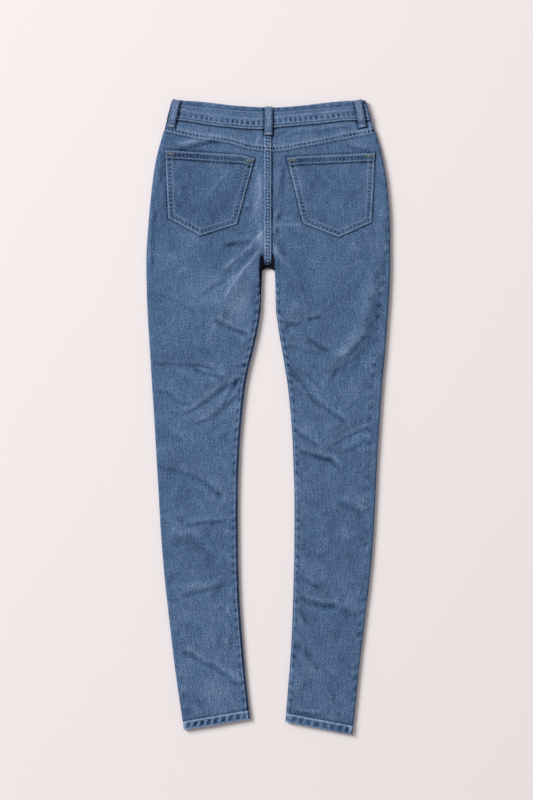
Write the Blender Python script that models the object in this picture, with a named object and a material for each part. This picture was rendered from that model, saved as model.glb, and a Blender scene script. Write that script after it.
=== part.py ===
"""Skinny jeans laid flat with the back up, built from the cloth pieces that are cut and sewn.

The tables and sizes are in millimetres and the meshes in metres. X runs across the jeans, +Y to the
waist and +Z up from the surface they lie on. Each leg is a flattened tube: a flat underside, two
round sides and a top. A place on it is found by its height Y and by the way along the tube's
outline from the inner or the outer side.
"""
from collections import namedtuple
from functools import lru_cache
import math

import bpy
import numpy as np

MM = 0.001
SEAM_GAP = 0.3
CLOTH = 1.6
HEM_CLOTH = 2.6
HEM_DEPTH = 13.0
HEM_Y = -495.0
HEM_RISE = 0.6

BAND_UNDER = 1.2
BAND_TOP = 8.4
BAND_CLOTH = 2.2
BAND_OVERHANG = 0.4
FRONT_DIP = 12.0
BAND_SIDE_LOW = 475.0
BAND_SIDE_TOP = 507.0
BAND_LAP = 22.0

FELL_WIDTH = 5.0
FELL_RISE = 0.7

POCKET_CLOTH = 1.3
POCKET_HEM = 11.0
POCKET_HEM_CLOTH = 2.1

LOOP_WIDTH = 12.5
LOOP_CLOTH = 1.7
LOOP_ARCH = 0.9
LOOP_FOOT = 4.5
LOOP_FOOT_RISE = 0.7
FRONT_LOOP_CLOTH = 0.9
FRONT_LOOP_X = 92.0

BUTTON_RADIUS = 8.5
BUTTON_HEIGHT = 0.9

# Outer side of the left and right leg, measured out from the centre line.
Outer = namedtuple("Outer", "y left right")
OUTER = [
    Outer(508, 153.6, 155.2), Outer(485, 159.8, 162.3), Outer(466, 164.8, 168.0),
    Outer(443, 171.8, 176.0), Outer(411, 179.9, 183.8), Outer(370, 186.1, 190.7),
    Outer(312, 191.7, 195.1), Outer(250, 195.4, 195.6), Outer(200, 194.6, 194.2),
    Outer(150, 192.4, 191.0), Outer(100, 189.2, 187.2), Outer(50, 186.2, 182.6),
    Outer(0, 182.9, 179.2), Outer(-60, 179.4, 175.5), Outer(-120, 175.8, 172.3),
    Outer(-180, 172.4, 169.2), Outer(-250, 166.8, 163.7), Outer(-320, 159.2, 155.6),
    Outer(-400, 149.8, 146.2), Outer(-508, 134.2, 135.2),
]

# Inner side of each leg, from the crotch down.
CROTCH_Y = 243
Inner = namedtuple("Inner", "y left right")
INNER = [
    Inner(CROTCH_Y, 0.0, 0.0), Inner(241.5, 2.4, 2.1), Inner(240, 4.4, 3.8), Inner(237, 6.2, 5.4),
    Inner(230, 7.6, 6.5), Inner(215, 8.6, 7.4),
    Inner(175, 11.9, 11.4), Inner(150, 14.8, 14.9), Inner(125, 19.8, 18.6), Inner(100, 25.5, 23.0),
    Inner(75, 31.4, 27.1), Inner(50, 36.3, 31.0), Inner(0, 41.8, 36.0), Inner(-60, 46.3, 39.6),
    Inner(-140, 48.5, 41.8), Inner(-220, 48.0, 41.4), Inner(-280, 46.4, 40.0),
    Inner(-360, 41.0, 37.0), Inner(-440, 33.4, 31.0), Inner(-508, 25.6, 25.4),
]

# Height of the flattened tube over the surface.
Height = namedtuple("Height", "y z")
HEIGHT = [
    Height(508, 7.0), Height(300, 7.2), Height(150, 7.0), Height(0, 6.8), Height(-200, 6.4),
    Height(-420, 6.2), Height(-508, 6.2),
]

# The centre seams dip between the thighs until the two inseams close each leg at JOIN_Y: height of
# the inner end of the top and of the underside, the width over which they reach the full height,
# and whether they do so as a valley (1) or as a round side (0).
JOIN_Y = 237
Saddle = namedtuple("Saddle", "y lip under width valley")
SADDLE = [
    Saddle(276, 7.2, 0.0, 12.0, 1.0), Saddle(268, 6.6, 0.0, 12.0, 1.0),
    Saddle(262, 5.2, 0.0, 12.0, 1.0), Saddle(254, 4.6, 0.0, 11.0, 1.0),
    Saddle(CROTCH_Y, 4.4, 0.8, 10.0, 1.0), Saddle(241.5, 4.3, 1.6, 8.0, 0.7),
    Saddle(240, 4.1, 2.5, 6.0, 0.3), Saddle(JOIN_Y, 3.6, 3.6, 4.0, 0.0),
    Saddle(215, 3.6, 3.6, 3.6, 0.0),
]

# How far each seam is rolled from the middle of its side onto the back, along the cloth.
Roll = namedtuple("Roll", "y inseam_left inseam_right outseam_left outseam_right")
ROLL = [
    Roll(508, 0.0, 0.0, 0.0, 0.0), Roll(330, 0.0, 0.0, 0.0, 1.5), Roll(240, 0.0, 0.0, 0.0, 9.0),
    Roll(215, 1.0, 0.8, 0.0, 12.5), Roll(160, 7.0, 5.2, 0.0, 17.0), Roll(100, 8.8, 6.6, 0.0, 18.0),
    Roll(-80, 8.8, 6.6, 0.0, 16.5), Roll(-300, 7.8, 5.6, 0.0, 8.5), Roll(-508, 7.2, 5.0, 0.0, 4.0),
]

# Seam and edge lines that run across, as heights Y over the distance X from the centre line.
Line = namedtuple("Line", "x y")
WAIST_TOP = [
    Line(-160, BAND_SIDE_TOP), Line(-148, BAND_SIDE_TOP), Line(-120, 504.6), Line(-79, 500.4),
    Line(-7, 495.6), Line(7, 495.4), Line(75, 500.2), Line(136, 505.2), Line(150, BAND_SIDE_TOP),
    Line(160, BAND_SIDE_TOP),
]
WAIST_SEAM = [
    Line(-168, BAND_SIDE_LOW), Line(-152, BAND_SIDE_LOW), Line(-80, 465.5), Line(-15, 460.5),
    Line(9, 463.0), Line(75, 469.0), Line(140, BAND_SIDE_LOW), Line(170, BAND_SIDE_LOW),
]
YOKE_SEAM = [
    Line(-176, 459.5), Line(-164, 457.0), Line(-116, 446.5), Line(-67, 439.5), Line(-20, 427.5),
    Line(9, 425.5), Line(56, 432.5), Line(105, 442.0), Line(154, 451.5), Line(178, 456.0),
]
HEM_LEFT = [Line(-138, -501.5), Line(-26, -482.5)]
HEM_RIGHT = [Line(25, -487.5), Line(137, -509.0)]

# Largest folds of the back: start, middle and end of the line, its rise and its half width.
Fold = namedtuple("Fold", "x0 y0 x1 y1 x2 y2 rise width")
FOLDS = [
    Fold(-36, 232, -60, 196, -84, 150, 1.2, 13),
    Fold(-82, 158, -54, 134, -28, 131, -1.5, 11),
    Fold(-74, 142, -50, 118, -34, 112, 0.7, 10),
    Fold(-178, 88, -116, 84, -66, 62, -1.5, 11),
    Fold(-172, 66, -120, 62, -78, 46, 0.8, 12),
    Fold(-42, 66, -70, 38, -110, 14, -1.4, 11),
    Fold(-52, 84, -84, 62, -118, 48, 0.6, 11),
    Fold(-46, 32, -66, 14, -90, -12, -1.3, 11),
    Fold(-168, -80, -128, -92, -86, -116, -1.2, 12),
    Fold(-142, -374, -84, -396, -50, -420, -1.0, 13),
    Fold(22, 144, 52, 152, 84, 158, -1.4, 11),
    Fold(26, 116, 64, 106, 102, 102, -1.1, 12),
    Fold(168, 122, 140, 92, 92, 70, -1.6, 14),
    Fold(34, 74, 70, 42, 114, -8, -1.3, 12),
    Fold(162, -18, 134, -26, 104, -44, -1.4, 11),
    Fold(52, -58, 82, -62, 112, -80, -1.5, 11),
    Fold(60, -32, 90, -38, 120, -56, 0.7, 12),
    Fold(52, -290, 84, -292, 114, -304, -0.9, 13),
]

# Corners of the back pockets: top, then side, then tip.
Pocket = namedtuple("Pocket", "inner_top outer_top outer_low tip inner_low")
POCKETS = {
    -1: Pocket((22.0, 413.5), (164.5, 427.0), (160.0, 319.0), (108.0, 290.6), (50.5, 309.0)),
    1: Pocket((30.2, 415.0), (170.4, 422.5), (165.0, 311.5), (113.0, 288.0), (56.0, 310.5)),
}

# Belt loops on the back: middle of the top end and of the foot.
Loop = namedtuple("Loop", "name top foot")
LOOPS = [
    Loop("belt_loop_back_left", (-146.5, 507.2), (-155.8, 463.6)),
    Loop("belt_loop_back_centre", (0.6, 496.4), (0.6, 451.0)),
    Loop("belt_loop_back_right", (143.0, 506.8), (151.2, 463.6)),
]

# Heights of the grid rows of the legs, between the yoke seam and the hem.
SEAT_ROWS = [438, 428, 408, 380, 350, 318, 290, 276]
CROTCH_ROWS = [269, 262, 253, CROTCH_Y, 241.5, 240, JOIN_Y, 230, 216, 202, 187]
THIGH_ROWS = list(range(172, -130, -19))
CALF_ROWS = [-160, -196, -234, -272, -310, -348, -384, -418, -450]

SIDES = {-1: "left", 1: "right"}
DENIM = "#546A8A"
DENIM_DARK = "#4C6283"
DENIM_LIGHT = "#5C7090"
BRASS = "#A08A5E"


def smooth_table(xs, values, x):
    """Smooth curve through a table's rows that never overshoots them."""
    xs = np.asarray(xs, float)
    values = np.asarray(values, float)
    if xs[0] > xs[-1]:
        xs = xs[::-1]
        values = values[::-1]
    step = np.diff(xs)
    slope = np.diff(values) / step
    product = slope[:-1] * slope[1:]
    total = np.where(product > 0, slope[:-1] + slope[1:], 1.0)
    middle = np.where(product > 0, 2 * product / total, 0.0)
    tangent = np.concatenate([slope[:1], middle, slope[-1:]])
    x = np.clip(x, xs[0], xs[-1])
    i = np.clip(np.searchsorted(xs, x) - 1, 0, len(step) - 1)
    t = (x - xs[i]) / step[i]
    return (
        values[i] * (2 * t ** 3 - 3 * t ** 2 + 1)
        + values[i + 1] * (3 * t ** 2 - 2 * t ** 3)
        + tangent[i] * step[i] * (t ** 3 - 2 * t ** 2 + t)
        + tangent[i + 1] * step[i] * (t ** 3 - t ** 2)
    )


def column(table, name, at, key="y"):
    """Value of a named column of a table at a height or at a distance across."""
    return smooth_table([getattr(row, key) for row in table], [getattr(row, name) for row in table], at)


def smooth_step(t):
    t = np.clip(t, 0.0, 1.0)
    return t * t * (3 - 2 * t)


def round_side(t):
    """Quarter circle from 0 to 1."""
    t = np.clip(t, 0.0, 1.0)
    return np.sqrt(1 - (1 - t) ** 2)


def line_y(line, x):
    return column(line, "y", x, key="x")


def hem_y(side, x):
    """Straight slanted lower edge of a leg."""
    first, last = HEM_LEFT if side < 0 else HEM_RIGHT
    return first.y + (last.y - first.y) * (x - first.x) / (last.x - first.x)


def fold_relief(x, y):
    """Rise of the back's folds: each is a bent line with soft flanks that fades to its ends."""
    x = np.asarray(x, float)
    rise = np.zeros_like(x)
    steps = 8
    for fold in FOLDS:
        nearest = np.full_like(x, 1e9)
        along = np.zeros_like(x)
        for k in range(steps + 1):
            t = k / steps
            px = (1 - t) ** 2 * fold.x0 + 2 * t * (1 - t) * fold.x1 + t * t * fold.x2
            py = (1 - t) ** 2 * fold.y0 + 2 * t * (1 - t) * fold.y1 + t * t * fold.y2
            if k:
                dx = px - last_x
                dy = py - last_y
                run = np.clip(((x - last_x) * dx + (y - last_y) * dy) / (dx * dx + dy * dy), 0, 1)
                gap = np.hypot(x - last_x - run * dx, y - last_y - run * dy)
                closer = gap < nearest
                nearest = np.where(closer, gap, nearest)
                along = np.where(closer, (k - 1 + run) / steps, along)
            last_x = px
            last_y = py
        ends = smooth_step(along / 0.25) * smooth_step((1 - along) / 0.25)
        rise += fold.rise * ends * np.exp(-(nearest / fold.width) ** 2)
    return rise


def outline(side, y):
    """Inner side, outer side and height of a leg's tube; the seat starts at the centre line."""
    inner = column(INNER, SIDES[side], y) if y < CROTCH_Y else 0.0
    return inner, column(OUTER, SIDES[side], y), column(HEIGHT, "z", y)


def top_height(side, a, y):
    """Height of the back's outer surface at the distance a from the centre line."""
    a = np.asarray(a, float)
    inner, outer, height = outline(side, y)
    radius = height / 2
    width = column(SADDLE, "width", y)
    valley = column(SADDLE, "valley", y)
    lip = height if y >= SADDLE[0].y else column(SADDLE, "lip", y)
    if y < SADDLE[-1].y:
        lip = radius
        width = radius
    t = (a - inner) / width
    climb = valley * smooth_step((t - 0.4) / 0.6) + (1 - valley) * round_side(t)
    fall = round_side((outer - a) / radius)
    z = lip + (height - lip) * climb + (fall - 1) * radius
    x = side * a
    open_cloth = smooth_step((a - inner - 2) / 14) * smooth_step((outer - a - 1) / 12)
    z = z + fold_relief(x, np.full_like(a, y)) * open_cloth
    if y > SADDLE[0].y - 20:
        fade = smooth_step((y - SADDLE[0].y + 20) / 20)
        z = z + FELL_RISE * fade * (1 - smooth_step((a - FELL_WIDTH) / 2.5))
    to_yoke = y - line_y(YOKE_SEAM, x)
    z = z + FELL_RISE * smooth_step((to_yoke + 0.5) / 0.5) * (1 - smooth_step((to_yoke - 7) / 2.5)) * fall
    to_hem = y - hem_y(side, x)
    return z + HEM_RISE * (1 - smooth_step((to_hem - HEM_DEPTH) / 2.0)) * fall


def under_height(side, a, y):
    """Height of the front's outer surface, which rests flat and turns up at the sides."""
    inner, outer, height = outline(side, y)
    radius = height / 2
    in_saddle = y >= SADDLE[-1].y
    lip = column(SADDLE, "under", y) if in_saddle else radius
    width = column(SADDLE, "width", y) if in_saddle else radius
    valley = column(SADDLE, "valley", y)
    t = (a - inner) / width
    rise = lip * (1 - valley * smooth_step(t) - (1 - valley) * round_side(t))
    return rise + radius * (1 - round_side((outer - a) / radius))


@lru_cache(maxsize=None)
def outline_run(side, y, face):
    """Top or underside of the tube at one height, from the inner to the outer side."""
    inner, outer, height = outline(side, y)
    radius = height / 2
    start = column(SADDLE, "width", y) if y >= SADDLE[-1].y else radius
    turn = np.linspace(0, math.pi / 2, 14)
    a = np.concatenate([
        inner + start * (1 - np.cos(turn)),
        np.linspace(inner + start, outer - radius, 50)[1:-1],
        outer - radius * (1 - np.cos(turn[::-1])),
    ])
    z = top_height(side, a, y) if face > 0 else under_height(side, a, y)
    length = np.concatenate([[0], np.cumsum(np.hypot(np.diff(a), np.diff(z)))])
    return a, z, length


def place_on(run, s, face):
    """Point and outward normal of an outline at the way s along it."""
    a, z, length = run
    reach = 0.25
    low = np.clip(s - reach, 0, length[-1])
    high = np.clip(s + reach, 0, length[-1])
    da = np.interp(high, length, a) - np.interp(low, length, a)
    dz = np.interp(high, length, z) - np.interp(low, length, z)
    size = math.hypot(da, dz)
    return np.interp(s, length, a), np.interp(s, length, z), -face * dz / size, face * da / size


def tube_point(side, y, s, face):
    """Point on a leg: s starts at the inner side on one face and may pass onto the other."""
    run = outline_run(side, y, face)
    length = run[2][-1]
    if 0 <= s <= length:
        return place_on(run, s, face)
    other = outline_run(side, y, -face)
    return place_on(other, -s if s < 0 else other[2][-1] - (s - length), -face)


def seam_normal(side, y, s, face):
    """Direction in which both pieces are cut at a seam, so that their edges stay parallel."""
    before = s - 0.4 if y < JOIN_Y else max(s - 0.4, 0.0)
    pair = np.array([tube_point(side, y, way, face)[2:] for way in (before, s + 0.4)])
    return pair.sum(axis=0) / np.linalg.norm(pair.sum(axis=0))


def seam_roll(side, y, seam):
    return float(column(ROLL, f"{seam}_{SIDES[side]}", y))


@lru_cache(maxsize=None)
def back_columns(side, y):
    """Ways along the back from seam to seam, close together where the cloth turns."""
    length = outline_run(side, y, 1)[2][-1]
    close = [1.4, 2.8, 4.4, 6.6]
    start = seam_roll(side, y, "inseam") + SEAM_GAP / 2
    end = seam_roll(side, y, "outseam") + SEAM_GAP / 2
    first = [start] + [max(c, start + 1.5 * (k + 1)) for k, c in enumerate(close)]
    last = [end] + [max(c, end + 1.5 * (k + 1)) for k, c in enumerate(close[:3])]
    middle = np.linspace(first[-1], length - last[-1], 6)[1:-1]
    return first + list(middle) + [length - s for s in reversed(last)]


@lru_cache(maxsize=None)
def front_columns(side, y):
    """Ways along the front from seam to seam; below 0 and past the end they lie on the back."""
    length = outline_run(side, y, -1)[2][-1]
    turn = [5.4, 2.7, 0.0, -2.7, -5.4]
    start = seam_roll(side, y, "inseam") - SEAM_GAP / 2
    end = seam_roll(side, y, "outseam") - SEAM_GAP / 2
    if y >= JOIN_Y:
        spread = 1.4 + 12 * smooth_step((y - JOIN_Y) / 60)
        first = [SEAM_GAP / 2 + spread * k for k in range(6)]
    else:
        first = [-start] + [-min(t, start - 1.3 * (k + 1)) for k, t in enumerate(turn)]
    last = [-end] + [-min(t, end - 1.3 * (k + 1)) for k, t in enumerate(turn)]
    middle = np.linspace(first[-1], length - last[-1], 4)[1:-1]
    return first + list(middle) + [length - s for s in reversed(last)]


def leg_row_lines(side, top_line, top_y):
    """Grid rows of a leg: they follow the seam above and the hem below, and are level between."""
    hem = [HEM_DEPTH + 2.5, HEM_DEPTH - 0.5, HEM_DEPTH / 2, 0]
    heights = SEAT_ROWS + CROTCH_ROWS + THIGH_ROWS + CALF_ROWS + [HEM_Y + h for h in hem]
    heights = [top_y] + [y for y in heights if y < top_y - 1]

    def row_line(y):
        at_top = smooth_step((y - (top_y - 110)) / 110)
        at_hem = smooth_step((-300 - y) / 190)
        return lambda x: y + (top_line(x) - top_y) * at_top + (hem_y(side, x) - HEM_Y) * at_hem

    return [row_line(y) for y in heights]


def wall_at(side, x, y):
    """Cloth thickness: double at the folded hem."""
    in_hem = 1 - smooth_step((y - hem_y(side, x) - HEM_DEPTH) / 2.0)
    return CLOTH + (HEM_CLOTH - CLOTH) * in_hem


def panel_grid(side, face, columns, row_lines):
    """Outer and inner points of a leg panel; a row line gives its height at each place across."""
    outer = []
    inner = []
    for row_line in row_lines:
        outer_row = []
        inner_row = []
        a = 80.0
        last = len(columns(side, 0.0)) - 1
        for k in range(last + 1):
            for _ in range(4):
                y = round(float(row_line(side * a)), 3)
                way = columns(side, y)[k]
                a, z, na, nz = tube_point(side, y, way, face)
            if k in (0, last):
                edge = -SEAM_GAP / 2 if k == 0 else SEAM_GAP / 2
                na, nz = seam_normal(side, y, way + edge, face)
            wall = wall_at(side, side * a, y)
            outer_row.append((side * a, y, z))
            inner_row.append((side * (a - wall * na), y, z - wall * nz))
        outer.append(outer_row)
        inner.append(inner_row)
    return np.array(outer), np.array(inner)


def front_seam_y(a):
    """Seam of the front panel to the waistband: it dips to the centre."""
    return BAND_SIDE_LOW - FRONT_DIP * smooth_step((150 - a) / 150)


def band_reach(side, y):
    """Half width of the waistband's flat part and the radius of its side."""
    radius = (BAND_TOP - BAND_UNDER) / 2
    return column(OUTER, SIDES[side], y) + BAND_OVERHANG - radius, radius


def band_section(side, face, place):
    """Outer and inner points across the band: place is a distance on the back or the front seam,
    or an angle from the top on the side."""
    low = BAND_SIDE_LOW + SEAM_GAP / 2
    high = BAND_SIDE_TOP
    if face == "back":
        low = line_y(WAIST_SEAM, side * place) + SEAM_GAP / 2
        high = line_y(WAIST_TOP, side * place * 0.96)
    if face == "front":
        low = front_seam_y(place) + SEAM_GAP / 2
        high = low + BAND_SIDE_TOP - BAND_SIDE_LOW
    low_flat = band_reach(side, low)[0]
    outer = []
    inner = []
    for v in (0.0, 0.5, 1.0):
        y = low + (high - low) * v
        flat, radius = band_reach(side, y)
        angle = {"back": 0.0, "front": math.pi}.get(face, place)
        a = flat if face == "side" else place * flat / low_flat
        a += radius * math.sin(angle)
        z = BAND_UNDER + radius + radius * math.cos(angle)
        outer.append((side * a, y, z))
        inner.append((side * (a - BAND_CLOTH * math.sin(angle)), y, z - BAND_CLOTH * math.cos(angle)))
    return outer, inner


def band_top_height(side, a, y):
    outer = column(OUTER, SIDES[side], y) + BAND_OVERHANG
    radius = (BAND_TOP - BAND_UNDER) / 2
    return BAND_TOP + (round_side((outer - a) / radius) - 1) * radius


def garment_top(x, y):
    """Top of the waistband, or of the yoke below it."""
    side = -1 if x < 0 else 1
    if y > line_y(WAIST_SEAM, x) - 3.8:
        return float(band_top_height(side, abs(x), y))
    return float(top_height(side, abs(x), y))


def linear(hex_colour):
    channels = [int(hex_colour[k:k + 2], 16) / 255 for k in (1, 3, 5)]
    return [c / 12.92 if c <= 0.04045 else ((c + 0.055) / 1.055) ** 2.4 for c in channels] + [1.0]


def finish(name, colour, roughness, metallic=0.0):
    material = bpy.data.materials.new(name)
    material.use_nodes = True
    shader = material.node_tree.nodes["Principled BSDF"]
    shader.inputs["Base Color"].default_value = linear(colour)
    shader.inputs["Roughness"].default_value = roughness
    shader.inputs["Metallic"].default_value = metallic
    return material


def add_wall(name, outer, inner, material, collection):
    """Closed cloth wall between an outer and an inner grid of points."""
    rows, cols = outer.shape[:2]
    count = rows * cols
    points = np.concatenate([outer.reshape(-1, 3), inner.reshape(-1, 3)]) * MM
    faces = []
    for i in range(rows - 1):
        for j in range(cols - 1):
            a = i * cols + j
            quad = (a, a + 1, a + cols + 1, a + cols)
            faces.append(quad)
            faces.append(tuple(count + v for v in reversed(quad)))
    rim = [j for j in range(cols)]
    rim += [i * cols + cols - 1 for i in range(1, rows)]
    rim += [(rows - 1) * cols + j for j in range(cols - 2, -1, -1)]
    rim += [i * cols for i in range(rows - 2, 0, -1)]
    for a, b in zip(rim, rim[1:] + rim[:1]):
        if a < b:
            faces += [(b, a, count + b), (a, count + a, count + b)]
        else:
            faces += [(b, a, count + a), (b, count + a, count + b)]
    edge_a = points[1] - points[0]
    edge_b = points[cols] - points[0]
    if np.dot(np.cross(edge_a, edge_b), points[0] - points[count]) < 0:
        faces = [tuple(reversed(face)) for face in faces]
    mesh = bpy.data.meshes.new(name)
    mesh.from_pydata([tuple(p) for p in points], [], faces)
    mesh.shade_smooth()
    mesh.set_sharp_from_angle(angle=math.radians(50))
    mesh.materials.append(material)
    piece = bpy.data.objects.new(name, mesh)
    collection.objects.link(piece)
    return piece


def add_back_panel(side, collection):
    name = f"back_panel_{SIDES[side]}"
    rows = leg_row_lines(side, lambda x: line_y(YOKE_SEAM, x) - SEAM_GAP / 2, 445)
    outer, inner = panel_grid(side, 1, back_columns, rows)
    add_wall(name, outer, inner, finish(name, DENIM, 0.9), collection)


def add_front_panel(side, collection):
    name = f"front_panel_{SIDES[side]}"
    rows = leg_row_lines(side, lambda x: front_seam_y(abs(x)) - SEAM_GAP / 2, BAND_SIDE_LOW)
    outer, inner = panel_grid(side, -1, front_columns, rows)
    add_wall(name, outer, inner, finish(name, DENIM, 0.9), collection)


def yoke_row_line(share):
    """Line across the yoke, from its lower seam at 0 to the waistband seam at 1."""
    def row_line(x):
        low = line_y(YOKE_SEAM, x) + SEAM_GAP / 2
        return low + (line_y(WAIST_SEAM, x) - SEAM_GAP / 2 - low) * share

    return row_line


def add_yoke(side, collection):
    name = f"yoke_{SIDES[side]}"
    rows = [yoke_row_line(share) for share in (0.0, 0.22, 0.32, 0.65, 1.0)]
    outer, inner = panel_grid(side, 1, back_columns, rows)
    add_wall(name, outer, inner, finish(name, DENIM_DARK, 0.9), collection)


def add_waistband(collection):
    """One strip round the waist; its right end is lapped inside the left end at the front."""
    stations = {}
    for side in SIDES:
        flat = band_reach(side, BAND_SIDE_LOW)[0] - 0.5
        back = panel_grid(side, 1, back_columns, [yoke_row_line(1.0)])[0][0]
        front = panel_grid(side, -1, front_columns, [lambda x: front_seam_y(abs(x)) - SEAM_GAP / 2])[0][0]
        under = [(side, "front", abs(x)) for x, _, z in front if z < 0.5 and 1 < abs(x) < flat]
        turn = [(side, "side", math.pi * k / 6) for k in range(6, -1, -1)]
        over = [(side, "back", abs(x)) for x, _, _ in back[::-1] if 1 < abs(x) < flat]
        stations[side] = under + turn + over
    around = [(-1, "front", 0.0)] + stations[-1] + [(1, "back", 0.0)] + stations[1][::-1]
    sections = [band_section(*station) for station in around if station != stations[1][0]]
    outer = [section[0] for section in sections]
    inner = [section[1] for section in sections]
    low = front_seam_y(0) + SEAM_GAP / 2
    lap = BAND_UNDER + BAND_CLOTH + SEAM_GAP
    for x in (4.0, -BAND_LAP):
        for grid, z in ((outer, lap), (inner, lap + BAND_CLOTH)):
            depth = BAND_SIDE_TOP - BAND_SIDE_LOW
            grid.append([(x, low + depth * v, z) for v in (0.0, 0.5, 1.0)])
    name = "waistband"
    add_wall(name, np.array(outer), np.array(inner), finish(name, DENIM_LIGHT, 0.9), collection)


def add_back_pocket(side, collection):
    """Patch of five sides on the back panel, its top edge folded over."""
    name = f"back_pocket_{SIDES[side]}"
    pocket = POCKETS[side]
    tip_share = 0.5
    depth = math.dist(pocket.outer_top, pocket.outer_low)
    rows = [0.0, POCKET_HEM / depth, POCKET_HEM / depth + 0.012, 0.27, 0.44, 0.61, 0.78, 0.93, 1.0]
    shares = [0.0, 0.04, 0.18, 0.34, tip_share, 0.66, 0.82, 0.96, 1.0]
    outer = []
    inner = []
    for v in rows:
        cloth = POCKET_HEM_CLOTH if v <= rows[1] else POCKET_CLOTH
        outer_row = []
        inner_row = []
        for u in shares:
            top = np.array(pocket.inner_top) * (1 - u) + np.array(pocket.outer_top) * u
            if u <= tip_share:
                t = u / tip_share
                low = np.array(pocket.inner_low) * (1 - t) + np.array(pocket.tip) * t
            else:
                t = (u - tip_share) / (1 - tip_share)
                low = np.array(pocket.tip) * (1 - t) + np.array(pocket.outer_low) * t
            a, y = top * (1 - v) + low * v
            z = float(top_height(side, a, y)) + SEAM_GAP
            outer_row.append((side * a, y, z + cloth))
            inner_row.append((side * a, y, z))
        outer.append(outer_row)
        inner.append(inner_row)
    add_wall(name, np.array(outer), np.array(inner), finish(name, DENIM_DARK, 0.9), collection)


def add_belt_loop(loop, collection):
    """Strip over the waistband, arched off it and tacked down at both ends."""
    top = np.array(loop.top)
    foot = np.array(loop.foot)
    along = (foot - top) / np.linalg.norm(foot - top)
    across = np.array([-along[1], along[0]])
    length = np.linalg.norm(foot - top)
    seam = (top[1] - line_y(WAIST_SEAM, top[0])) / -along[1]
    step = seam + 2.0
    foot_way = max(length - LOOP_FOOT, seam + 6.6)
    ways = [0.0, 4.0, 10.0, 18.0, 25.0, seam - 4, step, seam + 5.4, foot_way - 0.6, foot_way, length]
    outer = []
    inner = []
    for way in ways:
        arch = LOOP_ARCH * max(math.sin(math.pi * min(way / step, 1.0)), 0.0) ** 0.7
        rise = LOOP_CLOTH + (LOOP_FOOT_RISE if way >= ways[-2] else 0.0)
        middle = top + along * way
        ground = max(garment_top(*(middle + across * LOOP_WIDTH * w)) for w in (-0.3, 0.0, 0.3))
        outer_row = []
        inner_row = []
        for w in (-0.5, -0.25, 0.25, 0.5):
            x, y = middle + across * LOOP_WIDTH * w
            under = max(garment_top(x, y), ground - 1.2 * abs(w) * 2) + SEAM_GAP + arch
            outer_row.append((x, y, under + rise))
            inner_row.append((x, y, under))
        outer.append(outer_row)
        inner.append(inner_row)
    add_wall(loop.name, np.array(outer), np.array(inner), finish(loop.name, DENIM_LIGHT, 0.9), collection)


def add_front_loop(side, collection):
    """Plain flat loop under the front of the waistband, level with the surface."""
    name = f"belt_loop_front_{SIDES[side]}"
    low = front_seam_y(FRONT_LOOP_X)
    high = low + BAND_SIDE_TOP - BAND_SIDE_LOW
    bpy.ops.mesh.primitive_cube_add(size=1.0)
    piece = bpy.context.object
    piece.name = name
    piece.data.name = name
    height = high - low - 3
    piece.scale = (LOOP_WIDTH * MM, height * MM, FRONT_LOOP_CLOTH * MM)
    piece.location = (side * FRONT_LOOP_X * MM, (low + high) / 2 * MM, FRONT_LOOP_CLOTH / 2 * MM)
    bpy.ops.object.transform_apply(location=True, rotation=False, scale=True)
    piece.data.materials.append(finish(name, DENIM_LIGHT, 0.9))
    move_to(piece, collection)


def add_button(collection):
    """Flat face of the shank button, under the lapped ends of the waistband."""
    name = "waist_button"
    middle_y = front_seam_y(0) + (BAND_SIDE_TOP - BAND_SIDE_LOW) / 2
    bpy.ops.mesh.primitive_cylinder_add(
        vertices=28, radius=BUTTON_RADIUS * MM, depth=BUTTON_HEIGHT * MM,
        location=(-BAND_LAP / 2 * MM, middle_y * MM, BUTTON_HEIGHT / 2 * MM),
    )
    piece = bpy.context.object
    piece.name = name
    piece.data.name = name
    bpy.ops.object.transform_apply(location=True, rotation=False, scale=False)
    piece.data.shade_smooth()
    piece.data.set_sharp_from_angle(angle=math.radians(40))
    piece.data.materials.append(finish(name, BRASS, 0.4, 1.0))
    move_to(piece, collection)


def move_to(piece, collection):
    for home in list(piece.users_collection):
        home.objects.unlink(piece)
    collection.objects.link(piece)


def main():
    for leftover in list(bpy.data.objects):
        bpy.data.objects.remove(leftover, do_unlink=True)
    jeans = bpy.data.collections.new("skinny_jeans")
    bpy.context.scene.collection.children.link(jeans)
    for side in SIDES:
        add_back_panel(side, jeans)
        add_yoke(side, jeans)
        add_front_panel(side, jeans)
        add_back_pocket(side, jeans)
        add_front_loop(side, jeans)
    add_waistband(jeans)
    for loop in LOOPS:
        add_belt_loop(loop, jeans)
    add_button(jeans)


main()
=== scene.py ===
import math

import bpy
import numpy as np
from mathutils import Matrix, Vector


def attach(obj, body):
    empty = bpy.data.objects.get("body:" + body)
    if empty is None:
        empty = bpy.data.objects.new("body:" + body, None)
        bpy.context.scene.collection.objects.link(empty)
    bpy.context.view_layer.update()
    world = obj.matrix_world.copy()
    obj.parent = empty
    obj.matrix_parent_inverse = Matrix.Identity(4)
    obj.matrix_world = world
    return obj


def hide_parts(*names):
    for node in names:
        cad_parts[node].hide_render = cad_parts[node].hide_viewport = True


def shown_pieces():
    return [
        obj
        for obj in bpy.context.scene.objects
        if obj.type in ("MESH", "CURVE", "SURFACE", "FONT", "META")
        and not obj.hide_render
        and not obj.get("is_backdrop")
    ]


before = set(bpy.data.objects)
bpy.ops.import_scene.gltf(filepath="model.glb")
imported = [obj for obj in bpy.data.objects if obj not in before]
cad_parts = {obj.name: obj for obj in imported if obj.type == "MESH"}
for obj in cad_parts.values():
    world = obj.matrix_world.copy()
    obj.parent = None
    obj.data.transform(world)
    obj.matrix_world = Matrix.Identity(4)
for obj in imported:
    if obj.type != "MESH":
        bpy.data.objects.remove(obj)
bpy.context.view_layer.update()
mm = 0.001
sides = {-1: "left", 1: "right"}
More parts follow.
